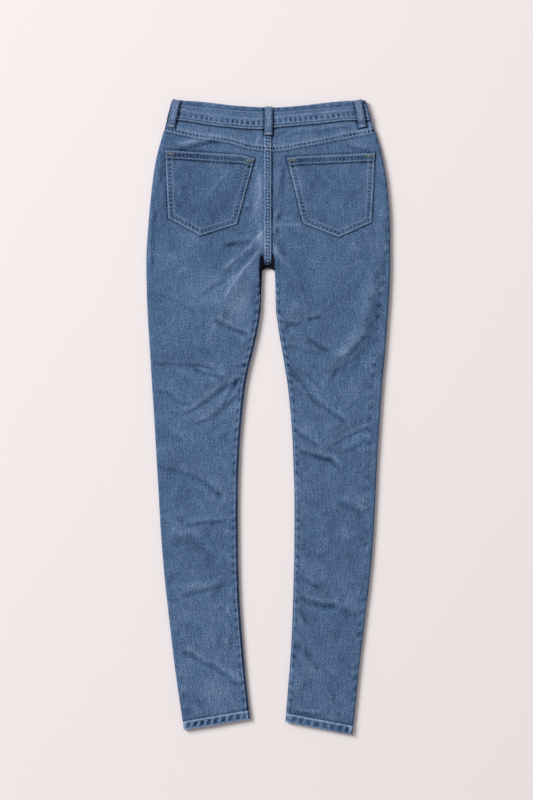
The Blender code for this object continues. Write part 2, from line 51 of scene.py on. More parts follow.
sideColumn = {-1: 1, 1: 2}  # of the tables that have one for the left and one for the right

# The laid jeans as the solids have them, in millimetres: Y towards the waist, distances out from the
# centre line. The first column of each table is the height Y.
crotchY = 238
joinY = 232  # below it the inseams close each leg
hemY = -495.0
seamGap = 0.12
outerSide = [  # left, right
    (508, 153.6, 155.2), (485, 159.8, 162.3), (466, 164.8, 168), (443, 171.8, 176), (411, 179.9, 183.8),
    (370, 186.1, 190.7), (312, 191.7, 195.1), (250, 195.4, 195.6), (200, 194.6, 194.2), (150, 192.4, 191),
    (100, 189.2, 187.2), (50, 186.2, 182.6), (0, 182.9, 179.2), (-60, 179.4, 175.5), (-120, 175.8, 172.3),
    (-180, 172.4, 169.2), (-250, 166.8, 163.7), (-320, 159.2, 155.6), (-400, 149.8, 146.2), (-508, 134.2, 135.2),
]
innerSide = [  # left, right
    (crotchY, 0, 0), (237, 6.4, 6.6), (235.6, 8.8, 9.4), (joinY, 9.6, 10.4), (215, 10.4, 11), (175, 11.9, 11.8),
    (150, 14.8, 14.9), (125, 19.8, 18.6), (100, 25.5, 23), (75, 31.4, 27.1), (50, 36.3, 31), (0, 41.8, 36),
    (-60, 46.3, 39.6), (-140, 48.5, 41.8), (-220, 48, 41.4), (-280, 46.4, 40), (-360, 41, 37), (-440, 33.4, 31),
    (-508, 25.6, 25.4),
]
legHeight = [(508, 7.0), (300, 7.2), (150, 7.0), (0, 6.8), (-200, 6.4), (-420, 6.2), (-508, 6.2)]
saddle = [  # lip of the top, lip of the underside, width, valley or round side
    (276, 7.2, 0, 12, 1), (266, 6.4, 0, 12, 1), (258, 4.6, 0, 12, 1), (248, 3.4, 0, 11, 1), (crotchY, 3, 0.8, 10, 1),
    (237, 3.2, 1.6, 8, 0.7), (235.6, 3.4, 2.5, 6, 0.3), (joinY, 3.6, 3.6, 4, 0), (215, 3.6, 3.6, 3.6, 0),
]
seamRoll = [  # inseam left, right, outseam left, right: way from the middle of the side onto the back
    (508, 0, 0, 0, 0), (330, 0, 0, 0, 1.5), (240, 0, 0, 0, 9), (215, 1, 0.8, 0, 12.5), (160, 4.6, 3, 0, 17),
    (100, 5.4, 3.6, 0, 18), (-80, 5.2, 3.4, 0, 16), (-300, 4.8, 3.2, 0, 7.4), (-508, 4.8, 3.2, 0, 3.6),
]
# Lines across, as heights Y over X.
waistTop = [
    (-160, 507), (-148, 507), (-120, 504.6), (-79, 500.4), (-7, 495.6), (7, 495.4), (75, 500.2), (136, 505.2),
    (150, 507), (160, 507),
]
waistSeam = [
    (-168, 475), (-152, 475), (-80, 465.5), (-15, 460.5), (9, 463), (75, 469), (140, 475), (170, 475),
]
yokeSeam = [
    (-176, 459.5), (-164, 457), (-116, 446.5), (-67, 439.5), (-20, 427.5), (9, 425.5), (56, 432.5), (105, 442),
    (154, 451.5), (178, 456),
]
hemLine = {-1: [(-138, -501.5), (-26, -482.5)], 1: [(25, -487.5), (137, -509.0)]}
band = {"under": 1.2, "top": 8.4, "cloth": 2.2, "overhang": 0.4, "dip": 12.0, "low": 475.0, "high": 507.0, "lap": 22.0}
hemDepth = 13.0

# Soft folds of the back: start, middle and end of the line, rise and half width.
folds = [
    (-36, 232, -60, 196, -84, 150, 1.2, 13), (-82, 158, -54, 134, -28, 131, -1.5, 11),
    (-74, 142, -50, 118, -34, 112, 0.7, 10), (-178, 88, -116, 84, -66, 62, -1.5, 11),
    (-172, 66, -120, 62, -78, 46, 0.8, 12), (-42, 66, -70, 38, -110, 14, -1.4, 11),
    (-52, 84, -84, 62, -118, 48, 0.6, 11), (-46, 32, -66, 14, -90, -12, -1.3, 11),
    (-168, -80, -128, -92, -86, -116, -1.2, 12), (-142, -374, -84, -396, -50, -420, -1, 13),
    (22, 144, 52, 152, 84, 158, -1.4, 11), (26, 116, 64, 106, 102, 102, -1.1, 12),
    (168, 122, 140, 92, 92, 70, -1.6, 14), (34, 74, 70, 42, 114, -8, -1.3, 12),
    (162, -18, 134, -26, 104, -44, -1.4, 11), (52, -58, 82, -62, 112, -80, -1.5, 11),
    (60, -32, 90, -38, 120, -56, 0.7, 12), (52, -290, 84, -292, 114, -304, -0.9, 13),
]
# Sharp creases within and between them: strength (below 0 a worn ridge), half width, and points along the line.
creases = [
    # seat and under the yokes
    (1.3, 4.4, -146, 429, -128, 431, -113, 434, -100, 437, -88, 440, -74, 439),
    (-0.5, 4, -152, 436, -128, 441, -110, 443), (0.6, 4.5, -171, 366, -170, 395, -168, 424),
    (0.7, 5, -184, 238, -184, 272, -182, 304, -178, 334), (0.8, 4, -40, 335, -26, 334), (0.6, 4, -31, 346, -25, 339),
    (-0.5, 3, -20, 332, -26, 315, -28, 300), (-0.6, 5, -13, 390, -12, 342), (-0.6, 6, -9, 302, -11, 270),
    (0.5, 4, -66, 297, -44, 300), (0.8, 4, 122, 438, 135, 431, 150, 427, 166, 424), (0.6, 6, 76, 456, 90, 447),
    (0.6, 3.6, 28, 448, 56, 454, 96, 459, 138, 465), (-0.6, 3, -13, 455, -16, 442, -21, 431),
    (0.6, 3, -22, 452, -27, 437), (0.6, 3, 12, 447, 24, 456, 34, 461), (-0.3, 5, 28, 444, 60, 455),
    (0.7, 5, 27, 404, 24, 372, 23, 346), (-0.5, 2.6, 15, 345, 17, 330, 10, 318, 8, 302),
    (1, 5, 12, 314, 19, 320, 26, 325), (0.6, 4, 24, 325, 44, 328), (-0.8, 2.6, 8, 306, 30, 308, 56, 308),
    (0.8, 5, 20, 301, 15, 295, 8, 287), (-0.5, 5, 181, 336, 176, 296), (0.6, 4.5, 190, 352, 192, 276),
    # left leg
    (0.9, 4.8, -74, 275, -54, 276, -38, 278, -20, 282), (-1.15, 3.2, -8, 298, -27, 277, -44, 260, -72, 236),
    (-1.7, 2.2, -14, 266, -34, 242, -53, 218, -70, 192), (0.5, 5, -34, 270, -54, 246, -76, 220),
    (-0.5, 3, -40, 232, -56, 222, -72, 208), (0.5, 4, -16, 272, -38, 250, -58, 226),
    (-0.6, 2.8, 9, 266, 30, 243, 50, 216), (0.6, 4, -64, 222, -84, 210, -108, 190),
    (0.4, 3, -190, 200, -150, 188, -112, 162), (1, 4.2, -88, 158, -58, 140, -28, 130),
    (0.5, 3.2, -50, 172, -54, 155, -56, 145), (-0.5, 4, -82, 152, -92, 132, -98, 116), (-0.6, 5, -62, 136, -30, 121),
    (0.4, 4, -102, 160, -104, 138), (0.5, 3.2, -112, 113, -107, 103), (-0.4, 3.2, -116, 104, -112, 92, -106, 88),
    (0.7, 3.6, -186, 86, -156, 84, -130, 81), (0.9, 3.4, -134, 84, -100, 80, -78, 69),
    (0.9, 3.4, -124, 76, -95, 68, -66, 61), (1.1, 3.6, -30, 84, -54, 81), (1, 3.6, -36, 62, -50, 58, -58, 42, -72, 15),
    (0.8, 4.2, -46, 60, -66, 48, -90, 30, -116, 12, -138, 3), (0.75, 4.2, -42, 42, -66, 18, -94, -3, -120, -13),
    (0.6, 3.6, -180, 43, -155, 34, -142, 22, -118, 20), (0.4, 5.5, -136, 70, -123, 48), (0.5, 3.2, -158, 9, -134, 0),
    (-0.5, 3.6, -162, -14, -130, -28), (0.5, 3.6, -158, -29, -132, -41), (0.4, 4.4, -58, -20, -82, -40),
    (0.4, 4.4, -87, -44, -92, -60), (0.5, 3.2, -64, -61, -76, -67), (0.35, 4, -178, -81, -160, -84, -134, -91),
    (0.52, 4.2, -146, -88, -124, -95, -100, -107, -75, -128), (0.4, 3, -128, -85, -126, -96),
    (0.4, 3, -115, -89, -117, -99), (0.4, 4.4, -84, -81, -66, -87), (0.9, 5.5, -84, -118, -75, -133),
    (-0.5, 4, -64, -118, -74, -140), (0.5, 4, -172, -150, -160, -153),
    (0.7, 4.4, -62, -166, -74, -168, -90, -171, -110, -172, -134, -175),
    (0.4, 5.5, -152, -158, -140, -166, -129, -178), (-0.4, 5, -172, -161, -156, -161),
    (-0.35, 5.5, -160, -185, -144, -179), (-0.6, 4.4, -74, -181, -56, -187),
    (0.45, 9, -158, -196, -138, -200, -114, -208, -98, -220, -84, -236, -77, -250), (0.4, 6, -138, -192, -112, -196),
    (0.5, 3.2, -72, -203, -73, -217), (-0.5, 4, -62, -213, -63, -237), (0.4, 5.5, -162, -274, -150, -256, -135, -247),
    (-0.5, 6.5, -98, -262, -118, -268, -138, -271),
    (0.8, 5.6, -70, -270, -86, -274, -102, -279, -120, -284, -142, -289),
    (0.4, 6, -64, -262, -76, -272, -84, -287, -80, -302), (-0.6, 5, -58, -268, -62, -292),
    (-0.7, 3.8, -60, -296, -67, -320), (0.6, 4.4, -72, -302, -77, -312), (0.4, 4.4, -153, -294, -144, -301),
    (0.5, 7, -131, -332, -116, -350), (0.4, 5, -150, -351, -138, -344), (0.5, 5, -74, -341, -78, -358, -72, -373),
    (-0.4, 4, -67, -328, -61, -347), (0.5, 4, -57, -349, -60, -371), (-0.3, 6, -101, -333, -97, -370),
    (1, 4.6, -140, -376, -120, -384, -100, -395, -82, -404, -66, -416, -46, -432), (0.6, 4.4, -143, -419, -132, -415),
    (-0.8, 5.5, -139, -428, -134, -438), (0.9, 4.4, -140, -445, -126, -445), (-0.7, 4.6, -137, -458, -131, -466),
    (0.6, 4, -137, -474, -120, -467), (0.6, 6, -117, -449, -108, -460, -99, -466), (-0.6, 3.2, -47, -444, -42, -432),
    (-0.4, 3.2, -44, -427, -50, -410),
    # right leg
    (0.6, 5, 8, 288, 18, 274, 33, 254), (0.8, 4, 10, 304, 20, 296), (0.7, 4.4, 12, 264, 17, 232, 18, 218),
    (0.5, 4, 53, 216, 61, 196), (0.5, 4, 44, 194, 57, 173), (0.45, 4, 65, 187, 71, 168),
    (0.9, 3.6, 26, 147, 44, 148, 58, 153), (1.2, 3.6, 60, 154, 74, 158, 88, 160),
    (0.35, 3, 88, 163, 98, 175, 110, 184), (0.9, 4.2, 60, 128, 80, 115, 104, 100),
    (0.6, 3.4, 26, 113, 42, 111, 60, 105, 84, 100),
    (0.5, 13, 192, 262, 182, 212, 175, 170, 165, 128, 148, 96, 130, 72, 102, 58),
    (-0.25, 10, 168, 225, 158, 170, 144, 132, 124, 106, 98, 90), (0.55, 4.4, 162, 132, 142, 112, 125, 94),
    (0.5, 7, 132, 101, 112, 78, 100, 62), (0.6, 4.4, 147, 101, 120, 79, 104, 64, 98, 46), (-0.6, 9, 134, 114, 110, 94),
    (0.75, 3.2, 26, 86, 44, 64, 66, 38), (0.95, 4, 62, 38, 80, 22, 98, 8, 128, -11), (0.7, 4, 58, 71, 76, 55, 90, 40),
    (0.75, 4.2, 42, -21, 60, -34, 82, -49), (1.25, 4.2, 48, -56, 62, -59, 78, -64, 98, -70, 114, -81),
    (0.9, 3.2, 102, -46, 130, -31, 164, -16), (0.5, 3.2, 96, -25, 120, -13), (0.65, 4, 162, -35, 136, -51, 118, -59),
    (0.4, 4.4, 142, 28, 125, 4), (0.4, 4, 70, -1, 80, -9), (0.55, 3.2, 156, -76, 170, -70),
    (0.7, 6.5, 110, -133, 124, -143, 140, -150, 158, -163), (0.9, 3.8, 148, -138, 158, -141, 170, -142),
    (0.7, 3.8, 160, -169, 171, -170), (0.5, 4, 154, -181, 169, -181), (-0.9, 5.5, 150, -185, 160, -188, 170, -186),
    (-0.55, 8, 121, -124, 130, -136), (-0.4, 5, 141, -124, 150, -134), (0.5, 4.4, 68, -161, 72, -169),
    (0.45, 4.4, 76, -136, 80, -146), (0.4, 6.5, 89, -150, 95, -162), (0.5, 6, 53, -164, 57, -176, 64, -184),
    (0.45, 4, 67, -186, 70, -195), (0.75, 4.6, 58, -199, 57, -216), (0.7, 3.8, 99, -193, 103, -201),
    (-0.4, 7, 123, -170, 124, -204), (-0.4, 5, 76, -179, 92, -180), (0.5, 4.4, 60, -215, 68, -228),
    (0.5, 5, 70, -213, 84, -222, 100, -222), (0.45, 5.5, 122, -228, 138, -219),
    (0.5, 3.4, 44, -238, 54, -246, 64, -252), (0.65, 3.6, 44, -253, 56, -259, 64, -265, 75, -271),
    (0.95, 5, 75, -265, 78, -281), (0.4, 3.4, 151, -253, 162, -252), (0.5, 3.6, 151, -266, 162, -266),
    (1.1, 5, 48, -291, 57, -293, 66, -297, 80, -301, 96, -304, 116, -304),
    (0.55, 6.5, 112, -303, 126, -312, 140, -318, 152, -321), (0.65, 4.6, 53, -298, 54, -312, 60, -326, 63, -336),
    (0.4, 5.5, 97, -274, 96, -292), (0.4, 4.4, 143, -296, 148, -301), (0.4, 6, 70, -330, 82, -320),
    (-0.9, 5.5, 44, -346, 50, -358), (0.9, 4.2, 38, -361, 48, -366, 56, -374),
    (0.75, 6.5, 58, -367, 64, -378, 71, -390, 79, -399, 85, -410), (0.55, 4.4, 87, -403, 100, -413, 112, -420),
    (0.4, 6.5, 104, -338, 110, -352, 113, -368), (0.7, 4.4, 143, -352, 153, -351), (0.6, 4.4, 141, -372, 150, -370),
    (-0.6, 3, 130, -394, 144, -400), (-0.7, 4.4, 132, -409, 141, -410), (-0.5, 4.6, 132, -428, 136, -434),
    (0.4, 6, 125, -397, 116, -412, 112, -422), (0.5, 3.8, 46, -395, 55, -397), (0.6, 3.4, 35, -417, 45, -418),
    (0.6, 5, 55, -420, 60, -430, 58, -440), (0.4, 3, 91, -424, 100, -440, 106, -454, 119, -469),
    (0.8, 4.4, 132, -445, 144, -440), (0.55, 3.8, 108, -473, 116, -478),
    (1, 3.2, 38, -471, 55, -474, 70, -477, 88, -477),
]
# The same kind of creases on the hidden front, troughs alone because it lies on its surface.
frontCreases = [
    (0.8, 5, -20, 250, -62, 258, -110, 258), (0.7, 5, -16, 232, -60, 232, -112, 224),
    (0.6, 5, -18, 214, -58, 204, -104, 186), (0.8, 5, -160, 120, -118, 107, -70, 100),
    (0.9, 5, -60, 80, -102, 68, -150, 66), (0.8, 5, -170, 40, -128, 26, -80, 24),
    (0.7, 5, -56, -10, -97, -20, -140, -20), (0.5, 5, -60, -300, -92, -306, -130, -300),
    (0.8, 5, 20, 250, 63, 257, 108, 256), (0.7, 5, 16, 228, 60, 228, 110, 220), (0.6, 5, 18, 210, 58, 198, 100, 182),
    (0.8, 5, 164, 112, 122, 101, 74, 96), (0.9, 5, 56, 70, 98, 60, 146, 60), (0.8, 5, 160, 26, 120, 15, 78, 14),
    (0.7, 5, 52, -20, 92, -30, 132, -30), (0.5, 5, 56, -320, 89, -324, 124, -318),
]
# Creases of the patch pockets themselves.
pocketCreases = [
    (-0.55, 2.4, -56, 400, -70, 384, -85, 367, -104, 348), (0.4, 3, -62, 392, -78, 372, -94, 354),
    (-0.35, 3, 84, 396, 104, 372), (0.35, 4, 140, 360, 120, 330), (0.3, 4, -140, 372, -118, 330),
]
# Where the cloth has washed paler or stayed darker: middle, half width, half height, tint.
fades = [
    (-110, 185, 62, 58, 0.24), (-32, 200, 16, 50, 0.25), (-105, 5, 60, 60, 0.16), (-90, -440, 50, 45, 0.22),
    (-15, 372, 9, 32, 0.6), (-16, 330, 9, 22, 0.6), (-11, 280, 7, 24, 0.35), (-22, 188, 8, 34, -0.6),
    (-50, 172, 18, 26, 0.35), (12, 268, 5, 16, 0.5), (38, 172, 18, 16, 0.4), (120, 100, 16, 14, 0.25),
    (-70, 262, 34, 22, -0.15), (90, 262, 60, 30, -0.05), (110, 15, 60, 60, 0.08), (90, -430, 50, 50, 0.06),
    (-120, 350, 50, 60, -0.12),
]
frontFades = [(-100, 60, 60, 90, 0.3), (100, 60, 60, 90, 0.3)]


def curve(table, at, column=1):
    # Smooth curve through a column of a table that never overshoots its rows.
    rows = np.array(sorted(table), float)
    xs, values = rows[:, 0], rows[:, column]
    step = np.diff(xs)
    slope = np.diff(values) / step
    product = slope[:-1] * slope[1:]
    total = np.where(product > 0, slope[:-1] + slope[1:], 1.0)
    tangent = np.concatenate([slope[:1], np.where(product > 0, 2 * product / total, 0.0), slope[-1:]])
    at = np.clip(at, xs[0], xs[-1])
    i = np.clip(np.searchsorted(xs, at) - 1, 0, len(step) - 1)
    t = (at - xs[i]) / step[i]
    return (values[i] * (2 * t ** 3 - 3 * t ** 2 + 1) + values[i + 1] * (3 * t ** 2 - 2 * t ** 3)
            + tangent[i] * step[i] * (t ** 3 - 2 * t ** 2 + t) + tangent[i + 1] * step[i] * (t ** 3 - t ** 2))


def smoothStep(t):
    t = np.clip(t, 0.0, 1.0)
    return t * t * (3 - 2 * t)


def upFrom(value, start, length):
    # 0 before a start, 1 a length after it.
    return smoothStep((value - start) / length)


def downFrom(value, start, length):
    return 1 - upFrom(value, start, length)


def roundSide(t):
    return np.sqrt(1 - (1 - np.clip(t, 0.0, 1.0)) ** 2)


def join(*parts):
    # Coordinates side by side, as points.
    return np.stack(np.broadcast_arrays(*parts), axis=-1)


def between(grid, i, j, s, t):
    # Value between four points of a grid.
    return ((grid[i, j] * (1 - s) + grid[i + 1, j] * s) * (1 - t)
            + (grid[i, j + 1] * (1 - s) + grid[i + 1, j + 1] * s) * t)


def hemHeight(side, x):
    (x0, y0), (x1, y1) = hemLine[side]
    return y0 + (y1 - y0) * (x - x0) / (x1 - x0)


noiseGrids = {}
noiseCount = 97  # patches before a grid repeats


def softNoise(x, y, size, seed):
    # Smooth random heights from -1 to 1 in patches of one size.
    if seed not in noiseGrids:
        heights = np.random.default_rng(seed).uniform(-1, 1, (noiseCount, noiseCount))
        noiseGrids[seed] = np.pad(heights, (0, 1), "wrap")
    u, v = np.asarray(x, float) / size, np.asarray(y, float) / size
    i, j = np.floor(u).astype(int), np.floor(v).astype(int)
    return between(noiseGrids[seed], i % noiseCount, j % noiseCount, smoothStep(u - i), smoothStep(v - j))


def unevenness(x, y, layers):
    # Sum of random layers, each with its height, patch size and seed.
    return sum(height * softNoise(x, y, size, seed) for height, size, seed in layers)


def nearestOn(x, y, px, py):
    # Distance to a line of points, above 0 on its left, and the share of the line at the nearest place.
    nearest = np.full_like(x, 1e9)
    signed, along = np.zeros_like(x), np.zeros_like(x)
    for k, (dx, dy) in enumerate(zip(np.diff(px), np.diff(py))):
        run = np.clip(((x - px[k]) * dx + (y - py[k]) * dy) / (dx * dx + dy * dy), 0, 1)
        gap = np.hypot(x - px[k] - run * dx, y - py[k] - run * dy)
        closer = gap < nearest
        nearest = np.where(closer, gap, nearest)
        signed = np.where(closer, np.sign(dx * (y - py[k]) - dy * (x - px[k])) * gap, signed)
        along = np.where(closer, (k + run) / (len(px) - 1), along)
    return signed, along


# The relief of folds and creases is drawn once on a grid of 1 mm, as on a relief map, and read from it.
mapX, mapY = np.meshgrid(np.arange(-206.0, 207.0), np.arange(-520.0, 481.0))


def nearLine(px, py, reach):
    # The part of the map within reach of a line.
    spans = py - mapY[0, 0], px - mapX[0, 0]
    return tuple(slice(max(int(span.min() - reach), 0), int(span.max() + reach)) for span in spans)


def readMap(layer, x, y):
    u = np.clip(x - mapX[0, 0], 0, mapX.shape[1] - 1.001)
    v = np.clip(y - mapY[0, 0], 0, mapX.shape[0] - 1.001)
    i, j = u.astype(int), v.astype(int)
    return between(layer.T, i, j, u - i, v - j)


def foldRelief():
    rise = np.zeros_like(mapX)
    t = np.linspace(0, 1, 9)
    for *spots, height, width in folds:
        px, py = ((1 - t) ** 2 * spots[k] + 2 * t * (1 - t) * spots[k + 2] + t * t * spots[k + 4] for k in (0, 1))
        near = nearLine(px, py, 3 * width)
        off, along = nearestOn(mapX[near], mapY[near], px, py)
        ends = smoothStep(along / 0.25) * upFrom(1 - along, 0, 0.25)
        rise[near] += height * ends * np.exp(-(off / width) ** 2)
    return rise


def smoothPath(spots):
    # Points on a smooth line through the given ones, run so that its left side faces the light.
    spots = np.array(spots, float).reshape(-1, 2)
    if np.dot(spots[-1] - spots[0], (0.6, 0.8)) < 0:
        spots = spots[::-1]
    way = np.concatenate([[0], np.cumsum(np.hypot(*np.diff(spots, axis=0).T))])
    at = np.linspace(0, way[-1], 5 * len(spots))
    px, py = (curve(list(zip(way, spots[:, k])), at) for k in range(2))
    return px, py, way[-1]


# Troughs get painted shade in their core and a painted highlight on the shoulder that faces the light; worn ridges are
# drawn paler.
creaseLook = {"depth": 0.30, "ridge": 0.2, "dark": 0.77, "paintedHighlight": 0.38, "worn": 0.75, "fade": 2.5, "tight": 0.82}


def creaseRelief(lines):
    # Narrow troughs with a soft shoulder, or ridges, that wander and change in depth along their way.
    rise, wash = np.zeros_like(mapX), np.zeros_like(mapX)
    look = creaseLook
    for k, (strength, width, *spots) in enumerate(lines):
        px, py, length = smoothPath(spots)
        width *= look["tight"]
        near = nearLine(px, py, 5 * width)
        x, y = mapX[near], mapY[near]
        off, along = nearestOn(x, y, px, py)
        off = off + 0.45 * width * softNoise(x, y, 9, 40 + k % 7)
        toEnd = np.minimum(along, 1 - along) * length / min(look["fade"] * width, 0.45 * length)
        uneven = (0.95 + 0.35 * softNoise(x, y, 13, 50 + k % 5)) * smoothStep(toEnd) * abs(strength)
        core, shoulder, other = (np.exp(-((off - middle * width) / (wide * width)) ** 2) * uneven
                                 for middle, wide in ((0, 1), (1.9, 1.3), (-2.1, 1.4)))
        if strength > 0:
            rise[near] -= look["depth"] * width * (core - 0.42 * shoulder - 0.2 * other)
            # Painted shade in the trough's core and a painted highlight on its shoulder towards the light.
            wash[near] += look["paintedHighlight"] * shoulder - look["dark"] * core
        else:
            rise[near] += look["ridge"] * width * core
            wash[near] += look["worn"] * core
    return rise, wash


def fadeWash(spots):
    wash = unevenness(mapX, mapY, ((0.13, 7.5, 6), (0.14, 17, 5), (0.16, 42, 9)))
    for x, y, wide, high, tint in spots:
        wash += tint * np.exp(-((mapX - x) / wide) ** 2 - ((mapY - y) / high) ** 2)
    return wash


foldMap = foldRelief()
backMap, frontMap, pocketMap = (creaseRelief(lines) for lines in (creases, frontCreases, pocketCreases))
fadeMap, frontFadeMap = fadeWash(fades), fadeWash(frontFades)
print("folds and creases drawn")


def legOutline(side, y):
    # Inner and outer side of a leg, out from the centre line, and its height.
    inner = np.where(y < crotchY, curve(innerSide, y, sideColumn[side]), 0.0)
    return inner, curve(outerSide, y, sideColumn[side]), curve(legHeight, y)


def faceHeight(side, face, a, y):
    # Height of a leg's top (face 1) or underside (-1), with the broad folds of the back.
    inner, outer, height = legOutline(side, y)
    radius = height / 2
    low = y < saddle[-1][0]
    width, lip, valley = curve(saddle, y, 3), curve(saddle, y, 1 if face > 0 else 2), curve(saddle, y, 4)
    t = (a - inner) / np.where(low, radius, width)
    lip = np.where(low, radius, lip)
    fall = roundSide((outer - a) / radius)
    if face < 0:
        return lip * (1 - valley * smoothStep(t) - (1 - valley) * roundSide(t)) + radius * (1 - fall)
    lip = np.where(y >= saddle[0][0], height, lip)
    climb = valley * upFrom(t, 0.4, 0.6) + (1 - valley) * roundSide(t)
    z = lip + (height - lip) * climb + (fall - 1) * radius
    x = side * a
    y = y + 0 * x
    z = z + readMap(foldMap, x, y) * upFrom(a - inner, 2, 14) * upFrom(outer - a, 1, 12)
    toYoke = y - curve(yokeSeam, x)
    z = z + 0.5 * upFrom(toYoke, -0.5, 0.8) * downFrom(toYoke, 8, 2.5) * fall
    return z + 0.6 * downFrom(y - hemHeight(side, x), hemDepth, 1.5) * fall


mapStep = 2.0
mapHeights = np.arange(-514.0, 512.0, mapStep)


def outlineRuns(side, face):
    # Top or underside of a leg at the map's heights, from the inner to the outer side.
    y = mapHeights[:, None]
    inner, outer, height = legOutline(side, y)
    radius = height / 2
    start = np.where(y >= saddle[-1][0], curve(saddle, y, 3), radius)
    turn = 1 - np.cos(np.linspace(0, math.pi / 2, 14))
    flat = np.linspace(0, 1, 150)[1:-1]
    a = np.concatenate([inner + start * turn, (inner + start) * (1 - flat) + (outer - radius) * flat,
                        outer - radius * turn[::-1]], axis=1)
    z = faceHeight(side, face, a, y + 0 * a)
    steps = np.hypot(np.diff(a, prepend=a[:, :1]), np.diff(z, prepend=z[:, :1]))
    return a, z, np.cumsum(steps, axis=1)


def clothMap(side, face, shares):
    # Points of a panel from seam to seam at every map height: distance out, height, full width, normal.
    *own, length = outlineRuns(side, face)
    *other, otherLength = outlineRuns(side, -face)
    inRoll, outRoll = (curve(seamRoll, mapHeights, sideColumn[side] + k)[:, None] for k in (0, 2))
    full = length[:, -1:]
    start, end = inRoll + seamGap / 2, full - outRoll - seamGap / 2
    if face < 0:
        start = seamGap / 2 - np.where(mapHeights[:, None] < joinY, inRoll, 0.0)
        end = full + outRoll - seamGap / 2
    way = start + (end - start) * shares
    onOther = np.where(way < 0, -way, otherLength[:, -1:] - (way - full))
    beyond = (way < 0) | (way > full)
    a, z = (np.array([
        np.where(beyond[i], np.interp(onOther[i], otherLength[i], other[k][i]), np.interp(way[i], length[i], own[k][i]))
        for i in range(len(way))]) for k in (0, 1))
    da, dz = np.gradient(a, axis=1), np.gradient(z, axis=1)
    size = np.hypot(da, dz) + 1e-9
    return join(a, z, end - start, -face * dz / size, face * da / size)


def edgeShares(count, close, part):
    # Shares across a panel, closer together at both ends, where the cloth turns.
    place = np.linspace(0, 1, count)
    toEnd = np.minimum(place, 1 - place)
    weight = close + (1 - close) * upFrom(toEnd, part, part)
    share = np.concatenate([[0], np.cumsum((weight[1:] + weight[:-1]) / 2)])
    return share / share[-1]


panelColumns = {1: (86, 0.62, 0.06), -1: (66, 0.45, 0.10)}  # back and front: count, close, part
panelShares = {face: edgeShares(*columns) for face, columns in panelColumns.items()}
clothMaps = {(side, face): clothMap(side, face, panelShares[face]) for side in sides for face in panelShares}
print("cloth maps ready")


def mapAt(side, face, columns, y):
    # Values of the cloth map at heights y, in its columns or between them.
    cloth = clothMaps[side, face]
    place = np.clip((y - mapHeights[0]) / mapStep, 0, len(mapHeights) - 1.001)
    i = place.astype(int)
    j = np.clip(np.asarray(columns).astype(int), 0, cloth.shape[1] - 2)
    return between(cloth, i, j, (place - i)[..., None], np.asarray(columns - j)[..., None])


def followLine(side, face, y, line, rounds):
    # Heights at which a row of a panel's points meets a line Y(X).
    for _ in range(rounds):
        y = line(side * mapAt(side, face, np.arange(len(panelShares[face])), y)[..., 0])
    return y


# Each seam: its rope of puckers, its stitch lines, and darker or paler lines beside them, as place, width
# and tint, or the tints on the left and the right leg. Some of the dark lines beside them are painted shadow.
seams = {
    # Yoke: the dark line just below the seam is a painted shadow under the yoke's folded edge.
    "yoke": dict(middle=4.4, half=3.4, pitch=5.6, lean=0.3, seed=11, depth=0.28, dark=1.9, pale=0.7, worn=1.2,
                 square=2.0, bias=-0.2, lines=(1.2, 7.2), beside=[(-1.6, 1.1, -0.9), (10.2, 0.9, 0.3)]),
    # Centre: the dark line at 6 mm is a painted shadow beside the edge of the felled flap.
    "centre": dict(middle=-1.0, half=3.6, pitch=5.2, lean=0.3, seed=15, depth=0.26, dark=2.2, pale=1.9, worn=1.5,
                   square=1.8, lines=(-5.2, -0.8, 3.6),
                   beside=[(6.0, 1.2, -2.2), (-3.0, 1.0, -1.0), (1.4, 1.0, -1.0), (-7.8, 1.0, -0.6)]),
    # Inseam: the dark line on the side is painted shade, stronger on the left leg, whose inseam faces away from the
    # light.
    "inseam": dict(middle=3.4, half=4.4, pitch=14.5, lean=0.4, seed=21, depth=0.28, dark=1.1, pale=0.2, worn=1.0,
                   lines=(1.6,), beside=[(0.0, 0.9, -1.8, -0.5)]),
    "outseam": dict(middle=1.0, half=4.5, pitch=18.0, lean=0.3, seed=25, depth=0.2, dark=0.8, pale=0.2, worn=0.0,
                    lines=(), beside=[(0.8, 0.8, 0.3)]),
    # Hem: the dark line just above it is a painted shadow of the hem's edge.
    "hem": dict(middle=6.4, half=5.2, pitch=11.6, lean=-0.25, seed=31, depth=0.45, dark=1.05, pale=0.6, worn=2.1,
                square=3.0, bias=-0.3, lines=(12.6,), beside=[(15.2, 1.3, -0.9), (0.3, 1.6, 0.8)]),
    "band": dict(middle=9.2, half=4.4, pitch=8.6, lean=0.1, seed=41, depth=0.28, dark=1.5, pale=0.7, worn=0.8,
                 lines=(1.5, 5.6), beside=[(16.6, 1.4, 0.7), (3.6, 0.9, -1.0), (0.2, 0.8, 0.6)]),
    "bandTop": dict(middle=3.0, half=3.2, pitch=15.0, lean=0.1, seed=45, depth=0.0, dark=0.0, pale=-0.9, worn=0.0,
                    lines=(), beside=[(8.6, 1.0, 0.4), (6.4, 1.2, -0.6), (0.0, 1.2, 0.6)]),
    "pocketSide": dict(middle=5.4, half=3.8, pitch=6.4, lean=0.25, seed=51, depth=0.26, dark=1.2, pale=0.3, worn=0.7,
                       lines=(1.5, 9.6), beside=[]),
    "pocketHem": dict(middle=6.6, half=3.8, pitch=5.6, lean=0.2, seed=55, depth=0.26, dark=1.25, pale=0.3, worn=0.9,
                      lines=(1.8, 11.4), beside=[]),
}
# On the front the same seams are met from their other side.
# On the front too the inseam's dark line is painted shade, stronger on the left leg.
seams["frontInseam"] = seams["inseam"] | {"beside": [(-0.8, 1.5, -1.3, -0.3)]}
seams["frontOutseam"] = seams["outseam"] | {"beside": [(-0.8, 0.8, 0.15)]}
seams["frontHem"] = seams["hem"] | {"beside": []}
stitchPull = 0.22
inseamTop = (205, 30)  # where the puckers of the inseams fade, and over what way


